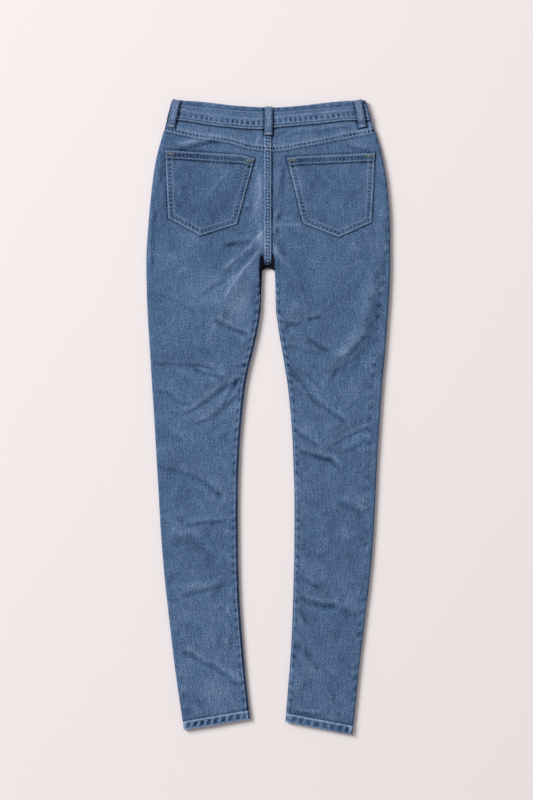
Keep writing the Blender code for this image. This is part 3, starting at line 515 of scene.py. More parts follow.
def rope(along, off, spec):
    # Puckers of a sewn seam from -1 to 1: they lean, wander, and grow and fade along it.
    middle, half, pitch = spec["middle"], spec["half"], spec["pitch"]
    still = np.zeros_like(along)
    wander = softNoise(along, still, pitch * 2.6, spec["seed"])
    strength = np.maximum(0.85 + 0.45 * softNoise(along, still, pitch * 1.9, spec["seed"] + 1), 0.5)
    wave = np.sin(2 * math.pi * (along + spec["lean"] * (off - middle)) / pitch + 1.4 * wander)
    wave = np.tanh(spec.get("square", 1.0) * (wave + spec.get("bias", 0.0)))  # blocks rather than waves
    return wave * strength * downFrom(np.abs(off - middle), 0.5 * half, 0.6 * half)


def sewn(off, lines, width=0.9):
    # 1 along lines that lie at one or a few distances off.
    return sum(np.exp(-((off - line) / width) ** 2) for line in np.atleast_1d(lines))


def seamRelief(name, side, along, off):
    spec = seams[name]
    wave = rope(along, off, spec)
    pulled = sewn(off, spec["lines"])
    wash = np.where(wave < 0, spec["dark"], spec["pale"]) * wave + spec["worn"] * pulled
    for place, width, *tints in spec["beside"]:
        wash = wash + tints[0 if side < 0 else -1] * sewn(off, place, width)
    return spec["depth"] * wave - stitchPull * pulled, wash


# Corners of the back pockets, out from the centre line: outer top, outer low, tip, inner low, inner top.
pockets = {
    -1: [(164.5, 427.0), (160.0, 319.0), (108.0, 290.6), (50.5, 309.0), (22.0, 413.5)],
    1: [(170.4, 422.5), (165.0, 311.5), (113.0, 288.0), (56.0, 310.5), (30.2, 415.0)],
}
loopWidth = 12.5
loops = {  # middle of the top end and of the foot
    "belt_loop_back_left": ((-146.5, 507.2), (-155.8, 463.6)),
    "belt_loop_back_centre": ((0.6, 496.4), (0.6, 451.0)),
    "belt_loop_back_right": ((143.0, 506.8), (151.2, 463.6)),
}


def pocketBulge(side, u):
    # The left pocket's top edge bows up between its corners.
    return (4.2 if side < 0 else 1.0) * np.clip(1 - u, 0, 1) * smoothStep(u / 0.16)


def alongEdge(start, end, x, y):
    # Way along an edge and distance to the right of it, with its length.
    run = np.subtract(end, start)
    length = np.linalg.norm(run)
    x, y = x - start[0], y - start[1]
    return (x * run[0] + y * run[1]) / length, (x * run[1] - y * run[0]) / length, length


def pocketCorners(side):
    return [np.array(corner) * (side, 1) for corner in pockets[side]]


def pocketEdges(side, x, y):
    # Distance in from the sewn sides with the way along them, and distance down from the top edge.
    corners = pocketCorners(side)
    offSide = np.full_like(x, 1e9)
    along = np.zeros_like(x)
    passed = 0.0
    for start, end in zip(corners, corners[1:]):
        way, off, length = alongEdge(start, end, x, y)
        along = np.where(side * off < offSide, passed + way, along)
        offSide = np.minimum(offSide, side * off)
        passed += length
    _, off, length = alongEdge(corners[4], corners[0], x, y)
    return offSide, along, side * off + pocketBulge(side, side * (x - corners[4][0]) / length)


def shadeAround(x, y):
    # Painted shadows on the cloth beside the pockets, the belt loops and the waistband.
    shade = -1.2 * sewn(curve(waistSeam, x) - y, 1.4, 1.5)
    for side in sides:
        offSide, _, offTop = pocketEdges(side, x, y)
        shade = shade - 1.1 * sewn(np.minimum(offSide, offTop), -1.4, 1.4)
    for top, foot in loops.values():
        way, across, length = alongEdge(top, foot, x, y)
        shade = shade - 1.9 * sewn(np.maximum(np.abs(across) - loopWidth / 2, way - length), 1.0, 1.5)
    return shade


def backRelief(side, x, y, fromInner, fromOuter):
    # Fine relief of the back over its smooth form, and how pale (+) or dark (-) the cloth is drawn: washed paler or
    # darker, with painted shade and highlights.
    inner, outer, _ = legOutline(side, y)
    a = side * x
    openCloth = upFrom(a - inner, 1, 7) * upFrom(outer - a, 1, 7)
    rise, wash = (readMap(layer, x, y) for layer in backMap)
    rise = rise + unevenness(x, y, ((0.22, 46, 3), (0.12, 15, 4), (0.05, 6, 2))) + 0.7 * readMap(foldMap, x, y)
    rise *= openCloth
    wash = wash * openCloth + readMap(fadeMap, x, y) + shadeAround(x, y)
    seat = upFrom(y, 240, 6)
    legs = downFrom(y, *inseamTop)
    toHem = y - hemHeight(side, x)
    for name, along, off, onRise, onWashAndShade in (
            ("yoke", x, y - curve(yokeSeam, x), openCloth, 1), ("centre", y, x, seat, seat),
            ("inseam", y, fromInner, legs, legs), ("outseam", y, fromOuter, 1, 1), ("hem", x, toHem, 1, 1)):
        more, pale = seamRelief(name, side, along, off)
        rise = rise + onRise * more
        wash = wash + onWashAndShade * pale
    rise += seat * 0.62 * upFrom(x, -7.2, 1.6) * downFrom(x, 5.0, 0.8)  # the felled centre seam
    # The crotch sinks between the legs; its seam fades into a painted shade there, darkened almost to black.
    paintedCrotchShade = downFrom(np.abs(x + 2), 9, 5)
    wash -= 2.8 * paintedCrotchShade * upFrom(265 - y, 0, 12) * upFrom(np.abs(x + 1.5), 5.0, 3.5)
    wash -= 2.3 * paintedCrotchShade * upFrom(255 - y, 0, 13) * upFrom(y, 214, 18)
    # The hem has worn along its stitches and at its corners.
    wash += 1.6 * sewn(toHem, 12.6, 1.8) * np.maximum(softNoise(x, y, 4.5, 35), 0)
    wash += downFrom(np.minimum(a - inner, outer - a), 3, 9) * (toHem < hemDepth)
    return rise, wash


def frontRelief(side, x, y, fromInner, fromOuter):
    rise, wash = (readMap(layer, x, y) for layer in frontMap)
    legs = downFrom(y, *inseamTop)
    toHem = y - hemHeight(side, x)
    inRise, inWashAndShade = seamRelief("frontInseam", side, y, -fromInner)
    outRise, outWash = seamRelief("frontOutseam", side, y, -fromOuter)
    hemRise, hemWash = seamRelief("frontHem", side, x, toHem)
    rise = np.minimum(rise, 0) - 0.12 * (1.4 + softNoise(x, y, 40, 7)) + legs * inRise + outRise
    wash = wash + readMap(frontFadeMap, -x, y) + legs * inWashAndShade + outWash + hemWash
    return rise + np.minimum(hemRise, 0) * (toHem < 16), wash


def clothPoints(side, face, share, y):
    # Points, normals, wash and painted shade, and way of a leg panel; share runs across it from seam to seam.
    shares = panelShares[face]
    share = share + 0 * y
    a, z, width, na, nz = np.moveaxis(mapAt(side, face, np.interp(share, shares, np.arange(len(shares))), y), -1, 0)
    y = y + 0 * a
    relief = backRelief if face > 0 else frontRelief
    rise, wash = relief(side, side * a, y, share * width, (1 - share) * width)
    return join(side * (a + na * rise), y, z + nz * rise), join(side * na, 0, nz), wash, share * width


farOff = 60.0  # from any seam of the sides


def heightAt(x, y):
    # Top of the back, with its relief, away from the sides, and its wash with painted shade.
    x = np.asarray(x, float)
    y = y + 0 * x
    found = []
    for side in sides:
        rise, wash = backRelief(side, x, y, farOff, farOff)
        found.append((faceHeight(side, 1, np.abs(x), y) + rise, wash))
    return np.where(x < 0, *found)


def activate(piece):
    bpy.ops.object.select_all(action="DESELECT")
    piece.select_set(True)
    bpy.context.view_layer.objects.active = piece


def startPiece(name, addPrimitive, **settings):
    bpy.ops.object.select_all(action="DESELECT")
    addPrimitive(**settings)
    piece = bpy.context.object
    piece.name = piece.data.name = name
    return piece


def shapeWith(piece, kind, **settings):
    # Adds a modifier and applies it.
    activate(piece)
    modifier = piece.modifiers.new(kind, kind)
    for key, value in settings.items():
        setattr(modifier, key, value)
    bpy.ops.object.modifier_apply(modifier=kind)


def roundEdges(piece, width, angle):
    shapeWith(piece, "BEVEL", width=width * mm, segments=2, limit_method="ANGLE", angle_limit=math.radians(angle))


def dress(piece, material, node=None):
    # Gives a finished piece its material and its body, and hides the solid that it stands for.
    piece.data.materials.append(material)
    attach(piece, "root")
    if node:
        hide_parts(node)
    return piece


def readAll(items, name, per=1, kind=float):
    values = np.zeros(per * len(items), kind)
    items.foreach_get(name, values)
    return values.reshape(-1, per) if per > 1 else values


def writeAll(items, name, values):
    items.foreach_set(name, np.asarray(values, np.float32).ravel())


cutPlaces = {"leg": 300, "face": 600, "yoke": 900, "pocket": 1500, "loop": 2000, "frontLoop": 2100}  # on the flat


def addSheet(node, points, cloth, wash, material, wall, weight=None, edge=0.4, up=1):
    # A sheet of cloth from a grid of points (mm): cloth gives each point's place on the flat cut.
    name = "denim_" + node.replace("panel", "leg")
    rows, columns = points.shape[:2]
    i, j = rows // 2, columns // 2
    if np.cross(points[i, j + 1] - points[i, j], points[i + 1, j] - points[i, j])[2] * up < 0:
        points, cloth, wash = points[:, ::-1], cloth[:, ::-1], wash[:, ::-1]
        weight = None if weight is None else weight[:, ::-1]
    piece = startPiece(name, bpy.ops.mesh.primitive_grid_add, x_subdivisions=columns - 1, y_subdivisions=rows - 1)
    mesh = piece.data
    writeAll(mesh.vertices, "co", points * mm)
    layer = mesh.uv_layers.active
    layer.name = "clothPlace"
    writeAll(layer.data, "uv", (cloth * mm).reshape(-1, 2)[readAll(mesh.loops, "vertex_index", kind=np.int32)])
    writeAll(mesh.attributes.new("wash", "FLOAT", "POINT").data, "value", wash)
    if weight is not None:
        group = piece.vertex_groups.new(name="wall")
        for k, share in enumerate(weight.ravel()):
            group.add([k], float(share), "REPLACE")
    shapeWith(piece, "SOLIDIFY", thickness=wall * mm, offset=-1, use_even_offset=False,
              vertex_group="" if weight is None else "wall")
    roundEdges(piece, edge, 62)
    # On the rims at the hems and the waist the pattern runs on over the edge.
    height = readAll(mesh.vertices, "co", 3)[readAll(mesh.loops, "vertex_index", kind=np.int32), 2]
    onRim = np.abs(readAll(mesh.polygons, "normal", 3)[:, 1]) > 0.6
    rim = np.repeat(onRim, readAll(mesh.polygons, "loop_total", kind=np.int32))
    layer = mesh.uv_layers["clothPlace"]
    flat = readAll(layer.data, "uv", 2)
    flat[rim, 1] += height[rim]
    writeAll(layer.data, "uv", flat)
    mesh.shade_smooth()
    return dress(piece, material, node)


def linear(hexColour):
    channels = [int(hexColour[k:k + 2], 16) / 255 for k in (1, 3, 5)]
    return (*(c / 12.92 if c <= 0.04045 else ((c + 0.055) / 1.055) ** 2.4 for c in channels), 1.0)


def startMaterial(name, sockets):
    # A material with its constant settings, and functions that add a node to it and wire one to its shader.
    material = bpy.data.materials.new(name)
    material.use_nodes = True
    graph = material.node_tree
    shader = graph.nodes["Principled BSDF"]
    for key, value in sockets.items():
        shader.inputs[key].default_value = value

    def add(kind, settings=None, **links):
        node = graph.nodes.new(kind)
        for key, value in (settings or {}).items():
            if key == "stops":
                elements = node.color_ramp.elements
                for place, _ in value[1:-1]:
                    elements.new(place)
                for element, (place, colour) in zip(elements, value):
                    element.position, element.color = place, colour
            elif key.startswith("in"):
                node.inputs[int(key[2:])].default_value = value
            else:
                setattr(node, key, value)
        for key, source in links.items():
            graph.links.new(getattr(source, "outputs", [source])[0], node.inputs[int(key[1:])])
        return node

    def wire(node, socket):
        graph.links.new(node.outputs[0], shader.inputs[socket])

    return material, add, wire


denimLook = {
    # The darkest colour is reached by the painted shade in the crotch.
    "colours": ("#04070E", "#334A6B", "#4A6486", "#6981A2", "#93A5C0"),  # from the hollows to the worn seams
    "sockets": {"Roughness": 0.88, "Sheen Weight": 0.1, "Sheen Roughness": 0.5, "Specular IOR Level": 0.1},
    "sheenTint": "#B9C6DC",
    # Uneven dye: width and length of a patch in mm, detail, roughness, strength.
    "patches": {"slub": (1.7, 2.9, 2.0, 0.6, 0.80), "fleck": (1.9, 1.9, 1.0, 0.5, 0.54),
                "streak": (2.2, 22.0, 1.0, 0.6, 0.34), "cloud": (45.0, 45.0, 3.0, 0.55, 0.11)},
    "twill": (2.4, 0.06), "wash": 0.30,
}


def makeDenim(name, turn=0.0, shift=0.0):
    # Washed cotton twill: matt, slightly fuzzy, with pale weft flecks, slubs along the warp and worn high places, and
    # painted shade and highlights read from an attribute.
    look = denimLook
    material, add, wire = startMaterial(name, look["sockets"] | {"Sheen Tint": linear(look["sheenTint"])})
    place = add("ShaderNodeUVMap", {"uv_map": "clothPlace"})
    warp = add("ShaderNodeMapping", {"in2": (0, 0, turn)}, i0=place)
    tints = []  # node, strength, offset
    for width, length, detail, rough, strength in look["patches"].values():
        size = (1 / (width * mm), 1 / (length * mm), 1)
        sized = add("ShaderNodeVectorMath", {"operation": "MULTIPLY", "in1": size}, i0=warp)
        noise = add("ShaderNodeTexNoise", {"noise_dimensions": "2D", "in2": 1.0, "in3": detail, "in4": rough}, i0=sized)
        tints.append((noise, strength, -0.5 * strength))
    # The twill's real lines are 0.9 mm apart, too fine to show, and are drawn coarser.
    spacing, strength = look["twill"]
    twill = add("ShaderNodeTexWave", {"wave_type": "BANDS", "bands_direction": "DIAGONAL",
                                      "in1": 1 / (spacing * mm) / 2.2, "in2": 1.6, "in3": 2.0, "in4": 1.5}, i0=warp)
    wash = add("ShaderNodeAttribute", {"attribute_name": "wash"})
    tints += [(twill.outputs[1], strength, -0.5 * strength), (wash.outputs[2], look["wash"], 0.5 + shift)]
    total = None
    for source, strength, offset in tints:
        part = add("ShaderNodeMath", {"operation": "MULTIPLY_ADD", "in1": strength, "in2": offset}, i0=source)
        total = add("ShaderNodeMath", {"operation": "ADD"}, i0=total, i1=part) if total else part
    stops = [(k / 4, linear(colour)) for k, colour in enumerate(look["colours"])]
    wire(add("ShaderNodeValToRGB", {"stops": stops}, i0=total), "Base Color")
    return material


def makeThread(name, colour, roughness):
    # Spun polyester sewing thread: soft sheen, a little paler and darker along its length.
    material, add, wire = startMaterial(name, {"Roughness": roughness, "Sheen Weight": 0.2})
    place = add("ShaderNodeTexCoord")
    worn = add("ShaderNodeTexNoise", {"in2": 260.0, "in3": 2.0}, i0=place.outputs[3])
    *rgb, alpha = linear(colour)
    stops = [(at, (*(min(tone * channel, 1) for channel in rgb), alpha)) for at, tone in ((0.3, 0.72), (0.7, 1.15))]
    wire(add("ShaderNodeValToRGB", {"stops": stops}, i0=worn), "Base Color")
    return material


legDenim = makeDenim("washed_twill_denim")
pocketDenim = makeDenim("washed_twill_denim_pocket", turn=0.04, shift=-0.03)
yokeDenim = makeDenim("washed_twill_denim_yoke", turn=0.06, shift=0.06)
bandDenim = makeDenim("washed_twill_denim_band", turn=math.pi / 2, shift=0.12)
thread = makeThread("spun_polyester_thread", "#8C9AB2", 0.75)
tackThread = makeThread("spun_polyester_tack_thread", "#656E6C", 0.85)
print("materials ready")


def frontSeam(a):
    # The waistband's seam dips at the front.
    return band["low"] - band["dip"] * upFrom(150 - a, 0, 150)


legLook = {"backStep": 2.0, "frontStep": 2.6, "close": 1.1, "backTop": 445, "wall": 2.4, "clothShare": 0.55,
           "edge": 0.3, "rounds": 5, "topWay": 110, "hemStart": -300, "hemWay": 190}


def rowHeights(top, step):
    # Nominal heights of the rows of a leg, closer together at the crotch and the hem.
    heights = [top]
    while heights[-1] > hemY:
        near = 224 < heights[-1] < 245 or heights[-1] < hemY + 17
        heights.append(heights[-1] - (legLook["close"] if near else step))
    return np.array(heights[:-1] + [hemY])[:, None]


def addLegPanel(side, face):
    name, top, step = "back", legLook["backTop"], legLook["backStep"]
    if face < 0:
        name, top, step = "front", band["low"], legLook["frontStep"]
    nominal = rowHeights(top, step)
    atTop = upFrom(nominal, top - legLook["topWay"], legLook["topWay"])
    atHem = upFrom(legLook["hemStart"] - nominal, 0, legLook["hemWay"])

    def bent(x):
        line = curve(yokeSeam, x) if face > 0 else frontSeam(np.abs(x))
        return nominal + (line - seamGap / 2 - top) * atTop + (hemHeight(side, x) - hemY) * atHem

    y = followLine(side, face, nominal + 0 * panelShares[face], bent, legLook["rounds"])
    points, _, wash, way = clothPoints(side, face, panelShares[face], y)
    cloth = join(way - way[:, -1:] / 2 + cutPlaces["leg"] * side + cutPlaces["face"] * face, y)
    toHem = points[..., 1] - hemHeight(side, points[..., 0])
    weight = 1 - (1 - legLook["clothShare"]) * upFrom(toHem, hemDepth, 2)
    return addSheet(f"{name}_panel_{sides[side]}", points, cloth, wash, legDenim, legLook["wall"], weight,
                    legLook["edge"], face)


yokeLook = {"rows": 27, "rounds": 4, "wall": 1.3, "edge": 0.35, "sink": 0.5}


def addYoke(side):
    v = np.linspace(0, 1, yokeLook["rows"])[:, None]

    def spread(x):
        low = curve(yokeSeam, x) + seamGap / 2
        return low + (curve(waistSeam, x) - seamGap / 2 - low) * v

    start = side * np.linspace(0, 165, len(panelShares[1])) + 0 * v
    y = followLine(side, 1, spread(start), spread, yokeLook["rounds"])
    points, _, wash, way = clothPoints(side, 1, panelShares[1], y)
    points[..., 2] -= yokeLook["sink"] * upFrom(v, 0.86, 0.14)  # under the waistband
    return addSheet(f"yoke_{sides[side]}", points, join(way + cutPlaces["yoke"] * side, y), wash, yokeDenim,
                    yokeLook["wall"], edge=yokeLook["edge"])


for side in sides:
    addLegPanel(side, 1)
    addLegPanel(side, -1)
    addYoke(side)
print("leg panels and yokes ready")

bandLook = {"rows": 22, "step": 1.7, "turns": 9, "wall": 1.9, "deep": 33, "lapClimb": 0.35, "edge": 0.5}
bandRadius = (band["top"] - band["under"]) / 2
bandShares = np.linspace(0, 1, bandLook["rows"])


def bandReach(side, y):
    # From the centre line to where the band begins to turn round the side.
    return curve(outerSide, y, sideColumn[side]) + band["overhang"] - bandRadius


def bandStation(side, place, angle):
    # Points and normal of one station: place out from the centre, or none on the turn round the side.
    low, high = band["low"] + seamGap / 2, band["high"]
    if place is not None and angle:
        low = float(frontSeam(place)) + seamGap / 2
        high = low + band["high"] - band["low"]
    elif place is not None:
        low, high = float(curve(waistSeam, side * place)) + seamGap / 2, float(curve(waistTop, side * place * 0.96))
    y = low + (high - low) * bandShares
    reach = bandReach(side, y)
    out = (reach if place is None else place * reach / reach[0]) + bandRadius * math.sin(angle)
    z = band["under"] + bandRadius * (1 + math.cos(angle))
    return join(side * out, y, z), join(side * math.sin(angle), 0 * y, math.cos(angle))


def bandPoints():
    # Stations from the front centre round the left side, the back and the right side, then the lap.
    stations = []
    for side in sides:
        reach = bandReach(side, band["low"])
        places = np.linspace(0, reach, int(reach / bandLook["step"]))
        half = [(side, place, math.pi) for place in places]
        half += [(side, None, angle) for angle in np.linspace(math.pi, 0, bandLook["turns"])[1:-1]]
        half += [(side, place, 0.0) for place in places[::-1]]
        stations += half if side < 0 else half[::-1][1:]
    points, normals = (np.stack(part, axis=1) for part in zip(*(bandStation(*station) for station in stations)))
    keep = ~((points[0, :, 2] < 2) & (points[0, :, 0] >= 0) & (points[0, :, 0] < 4))
    keep[:len(keep) // 2] = True
    points, normals = points[:, keep], normals[:, keep]
    # The right end climbs over the left end inside the front.
    lapX = np.linspace(2.4, -band["lap"], 16)
    points, normals = (np.pad(part, ((0, 0), (0, len(lapX)), (0, 0)), "edge") for part in (points, normals))
    points[:, -len(lapX):, 0] = lapX
    inLap = (np.arange(points.shape[1]) > points.shape[1] / 2) & (points[0, :, 2] < 2)
    points[..., 2] += (band["cloth"] + bandLook["lapClimb"]) * upFrom(24 - points[..., 0], 0, 20) * inLap
    return points, normals, np.concatenate([[0], np.cumsum(np.linalg.norm(np.diff(points[0], axis=0), axis=1))])


def bandRelief(points, way):
    depth = np.linalg.norm(points[-1] - points[0], axis=-1)
    up = bandShares[:, None] * depth
    down = depth - up
    along = way + 0 * up
    rise, wash = np.add(seamRelief("band", 1, along, up), seamRelief("bandTop", 1, along, down))
    rise += 0.25 * downFrom(up, 8, 3) + 0.10 * softNoise(along, up, 22, 12)
    rise += 0.22 * sewn(down, 8.6, 1.6) - 0.15 * sewn(down, 6.6, 1.0) - 0.35 * sewn(down, 0.0, 0.7)
    wash += 0.15 * softNoise(along, up, 12, 13) - 0.3
    # Painted shadows of the belt loops on the top of the band.
    wash += np.where(points[..., 2] > 6, np.minimum(shadeAround(points[..., 0], points[..., 1]), 0.0), 0.0)
    return rise[..., None], wash


bandSpots, bandNormals, bandWay = bandPoints()
bandRise, bandWashAndShade = bandRelief(bandSpots, bandWay)


def addWaistband():
    onFloor = bandNormals[..., 2:] < -0.5
    points = bandSpots + bandNormals * np.where(onFloor, np.minimum(bandRise, 0.3), bandRise)
    cloth = join(bandWay, bandShares[:, None] * bandLook["deep"])
    return addSheet("waistband", points, cloth, bandWashAndShade, bandDenim, bandLook["wall"],
                    edge=bandLook["edge"])


addWaistband()
print("waistband ready")

pocketLook = {"columns": 92, "rows": 86, "cloth": 1.3, "hem": 12.6, "hemRise": 0.7}


def pocketRelief(side, x, y):
    # Height, and wash with painted crease shade, of a pocket that lies on the back.
    offSide, along, offTop = pocketEdges(side, x, y)
    hem = pocketLook["hem"]
    inHem = downFrom(offTop, hem, 1.2)
    below = upFrom(offTop, hem, 3)
    sideRise, sidePale = seamRelief("pocketSide", side, along, offSide)
    hemRise, hemPale = seamRelief("pocketHem", side, x, offTop)
    # The pocket's crease map holds painted shade and highlights in its creases as well as paler worn ridges.
    creased, worn = (readMap(layer, x, y) for layer in pocketMap)
    z = heightAt(x, y)[0] + seamGap + pocketLook["cloth"] + (pocketLook["hemRise"] + hemRise) * inHem + sideRise * below
    wash = readMap(fadeMap, x, y) + worn + sidePale * below + hemPale * inHem + 0.9 * sewn(offSide, 0.2, 1.1)
    return z + creased, wash - 0.5 * inHem * upFrom(offTop, 2.5, 2) - 1.3 * sewn(offTop, 14.2, 1.3)


def addPocket(side):
    # A five-sided patch: u across from the inner side, v down from the top.
    outerTop, outerLow, tip, innerLow, innerTop = pocketCorners(side)
    u = np.linspace(0, 1, pocketLook["columns"])[None, :, None]
    v = np.linspace(0, 1, pocketLook["rows"])[:, None, None]
    t = np.clip(u * 2, 0, 1)
    s = np.clip(u * 2 - 1, 0, 1)
    low = np.where(u <= 0.5, innerLow * (1 - t) + tip * t, tip * (1 - s) + outerLow * s)
    spots = (innerTop * (1 - u) + outerTop * u) * (1 - v) + low * v
    x, y = spots[..., 0], spots[..., 1] + (pocketBulge(side, u) * (1 - v))[..., 0]
    z, wash = pocketRelief(side, x, y)
    return addSheet(f"back_pocket_{sides[side]}", join(x, y, z), join(x + cutPlaces["pocket"] * side, y), wash,
                    pocketDenim, pocketLook["cloth"])


for side in sides:
    addPocket(side)
print("pockets ready")

loopLook = {
    "cloth": 1.5, "arch": 0.9, "foot": 4.5, "footRise": 0.7, "rows": 48, "columns": 13, "sewnAt": 4.1,
    "frontPlace": 92.0, "frontLength": 29.0, "frontWall": 0.8, "frontEdge": 0.25,
}


def garmentTop(x, y):
    # Top of the waistband, or of the yoke below it, on one side of the middle.
    outer = curve(outerSide, y, 1 if x.ravel()[0] < 0 else 2) + band["overhang"]
    onBand = band["top"] + (roundSide((outer - np.abs(x)) / bandRadius) - 1) * bandRadius + 0.3
    return np.where(y > curve(waistSeam, x) - 3.8, onBand, heightAt(x, y)[0])


def loopPoints(name, w, way):
    # Points of a loop: w across from -0.5 to 0.5, way down from its top end.
    top, foot = (np.array(end) for end in loops[name])
    length = np.linalg.norm(foot - top)
    along = (foot - top) / length
    across = np.array([-along[1], along[0]])
    step = (top[1] - float(curve(waistSeam, top[0]))) / -along[1] + 2.0  # down from the waistband onto the yoke
    footWay = max(length - loopLook["foot"], step + 4.6)
    ways = np.array([0, 1.5, 4, 10, 18, 25, step - 5, step, step + 3.4, footWay - 0.6, footWay + 0.3, length])
    arch = loopLook["arch"] * np.clip(np.sin(math.pi * np.minimum(ways / step, 1.0)), 0, 1) ** 0.7
    place = (top + along * ways[:, None])[:, None, :] + across * np.array([-0.3, 0.0, 0.3])[None, :, None] * loopWidth
    ground = garmentTop(place[..., 0], place[..., 1]).max(axis=1) + seamGap + loopLook["cloth"] + 0.2
    z = curve(list(zip(ways, ground + arch + loopLook["footRise"] * (ways > footWay))), way)
    place = top + along * way[..., None] + across * (loopWidth * w)[..., None]
    lying = garmentTop(place[..., 0], place[..., 1]) + seamGap + loopLook["cloth"] + 0.2
    z = np.minimum(z, lying + np.clip(z - lying, 0, 1.6))
    return np.concatenate([place, z[..., None]], axis=-1)


def addLoop(name):
    w = np.linspace(-0.5, 0.5, loopLook["columns"])[None, :]
    length = math.dist(*loops[name])
    way = np.linspace(0, length, loopLook["rows"])[:, None] + 0 * w
    w = w + 0 * way
    points = loopPoints(name, w, way)
    off = np.abs(w) * loopWidth
    lumps = softNoise(way, off * 2, 5.5, 61)
    tacks = sewn(way, (2.2, length - 2.4), 1.4)
    points[..., 2] += (0.12 * lumps - 0.35 * upFrom(off, 4.9, 1.35) + 0.25 * (off < 3.4) - 0.25 * tacks
                       - 0.2 * sewn(off, loopLook["sewnAt"], 0.8))
    wash = (0.5 * lumps + 0.3 * (off < 3.5) - 1.3 * sewn(off, 4.5, 0.8) + 0.5 * sewn(off, 5.8, 0.6)
            - 0.3 * sewn(off, 0.0, 1.2) + 0.7 * tacks - 1.2 * sewn(length - way, 5.4, 0.8))
    return addSheet(name, points, join(w * loopWidth + cutPlaces["loop"], way), wash, bandDenim, loopLook["cloth"])


def addFrontLoop(side):
    # A plain loop on the hidden front, pressed into the waistband's surface.
    w = np.linspace(-0.5, 0.5, 9)[None, :]
    v = np.linspace(0, 1, 22)[:, None]
    x = side * loopLook["frontPlace"] + loopWidth * w + 0 * v
    y = float(frontSeam(loopLook["frontPlace"])) + 1.5 + loopLook["frontLength"] * v + 0 * w
    off = np.abs(w * loopWidth) + 0 * v
    z = (0.02 + 0.22 * sewn(off, loopLook["sewnAt"], 0.8) + 0.25 * upFrom(off, 4.9, 1.35)
         + 0.05 * softNoise(x, y, 5, 65))
    wash = 0.3 * sewn(off, 5.9, 0.8) + 0.1 * softNoise(x, y, 5, 66)
    cloth = join(loopWidth * w + cutPlaces["frontLoop"], y)
    return addSheet(f"belt_loop_front_{sides[side]}", join(x, y, z), cloth, wash, bandDenim, loopLook["frontWall"],
                    edge=loopLook["frontEdge"], up=-1)


for name in loops:
    addLoop(name)
for side in sides:
    addFrontLoop(side)
print("belt loops ready")

threadShape = {"radius": 0.42, "long": 2.7, "gap": 0.6, "sink": 0.12}


def modelStitch():
    # One stitch: a short round thread that dips into the cloth at both ends.
    piece = startPiece("stitch", bpy.ops.mesh.primitive_uv_sphere_add, segments=6, ring_count=4, radius=1)
    bpy.ops.object.mode_set(mode="EDIT")
    bpy.ops.mesh.select_all(action="SELECT")
    bpy.ops.transform.resize(value=(threadShape["radius"], threadShape["radius"], threadShape["long"] / 2))
    bpy.ops.object.mode_set(mode="OBJECT")
    points = readAll(piece.data.vertices, "co", 3)
    faces = [tuple(face.vertices) for face in piece.data.polygons]
    bpy.data.objects.remove(piece)
    return points, faces


stitchPoints, stitchFaces = modelStitch()
sewing = {}
upwards = np.array([0.0, 0.0, 1.0])


def sewLine(name, points, normals=upwards, long=threadShape["long"], gap=threadShape["gap"], thick=1.0):
    # Stitches laid end to end along a line of points (mm); kept until their piece is made.
    normals = normals + 0 * points
    way = np.concatenate([[0], np.cumsum(np.linalg.norm(np.diff(points, axis=0), axis=1))])
    count = int(way[-1] / (long + gap))
    if count < 1:
        return
    middle = (np.arange(count) + 0.5) * way[-1] / count

    def at(values, s):
        return join(*(np.interp(s, way, values[:, k]) for k in range(3)))

    tangent = at(points, middle + 0.45 * long) - at(points, middle - 0.45 * long)
    tangent /= np.linalg.norm(tangent, axis=1, keepdims=True)
    normal = at(normals, middle)
    normal -= tangent * (normal * tangent).sum(axis=1, keepdims=True)
    normal /= np.linalg.norm(normal, axis=1, keepdims=True)
    across = np.cross(tangent, normal)
    centre = at(points, middle) + normal * threadShape["sink"]
    x, y, z = stitchPoints.T[:, None, :, None]
    placed = (centre[:, None] + (across[:, None] * x + normal[:, None] * y) * thick
              + tangent[:, None] * z * long / threadShape["long"])
    placed[..., 2] = np.maximum(placed[..., 2], 0.02)  # pressed flat underneath
    sewing.setdefault(name, []).append(placed.reshape(-1, 3))


def addSewing(name):
    # All the stitches of one place as one mesh.
    points = np.concatenate(sewing[name])
    starts = range(0, len(points), len(stitchPoints))
    mesh = bpy.data.meshes.new(name)
    mesh.from_pydata((points * mm).tolist(), [], [tuple(v + k for v in face) for k in starts for face in stitchFaces])
    mesh.shade_smooth()
    piece = bpy.data.objects.new(name, mesh)
    bpy.context.scene.collection.objects.link(piece)
    isTack = name.startswith("tack")
    dress(piece, tackThread if isTack else thread)


def backNormals(points, reach=0.6):
    # Normals of a line on the open back, from the slope of the cloth.
    x = points[:, 0] + reach * np.array([[1], [-1], [0], [0]])
    y = points[:, 1] + reach * np.array([[0], [0], [1], [-1]])
    z = heightAt(x, y)[0]
    slopes = join(z[1] - z[0], z[3] - z[2], 2 * reach)
    return slopes / np.linalg.norm(slopes, axis=1, keepdims=True)


def acrossLeg(side, face, line):
    # Points and normals of a leg along a line Y(X) from seam to seam.
    shares = panelShares[face]
    y = followLine(side, face, line(side * np.linspace(20, 150, len(shares))), line, 5)
    share = np.linspace(0.0, 1.0, 260)
    return clothPoints(side, face, share, np.interp(share, shares, y))[:2]


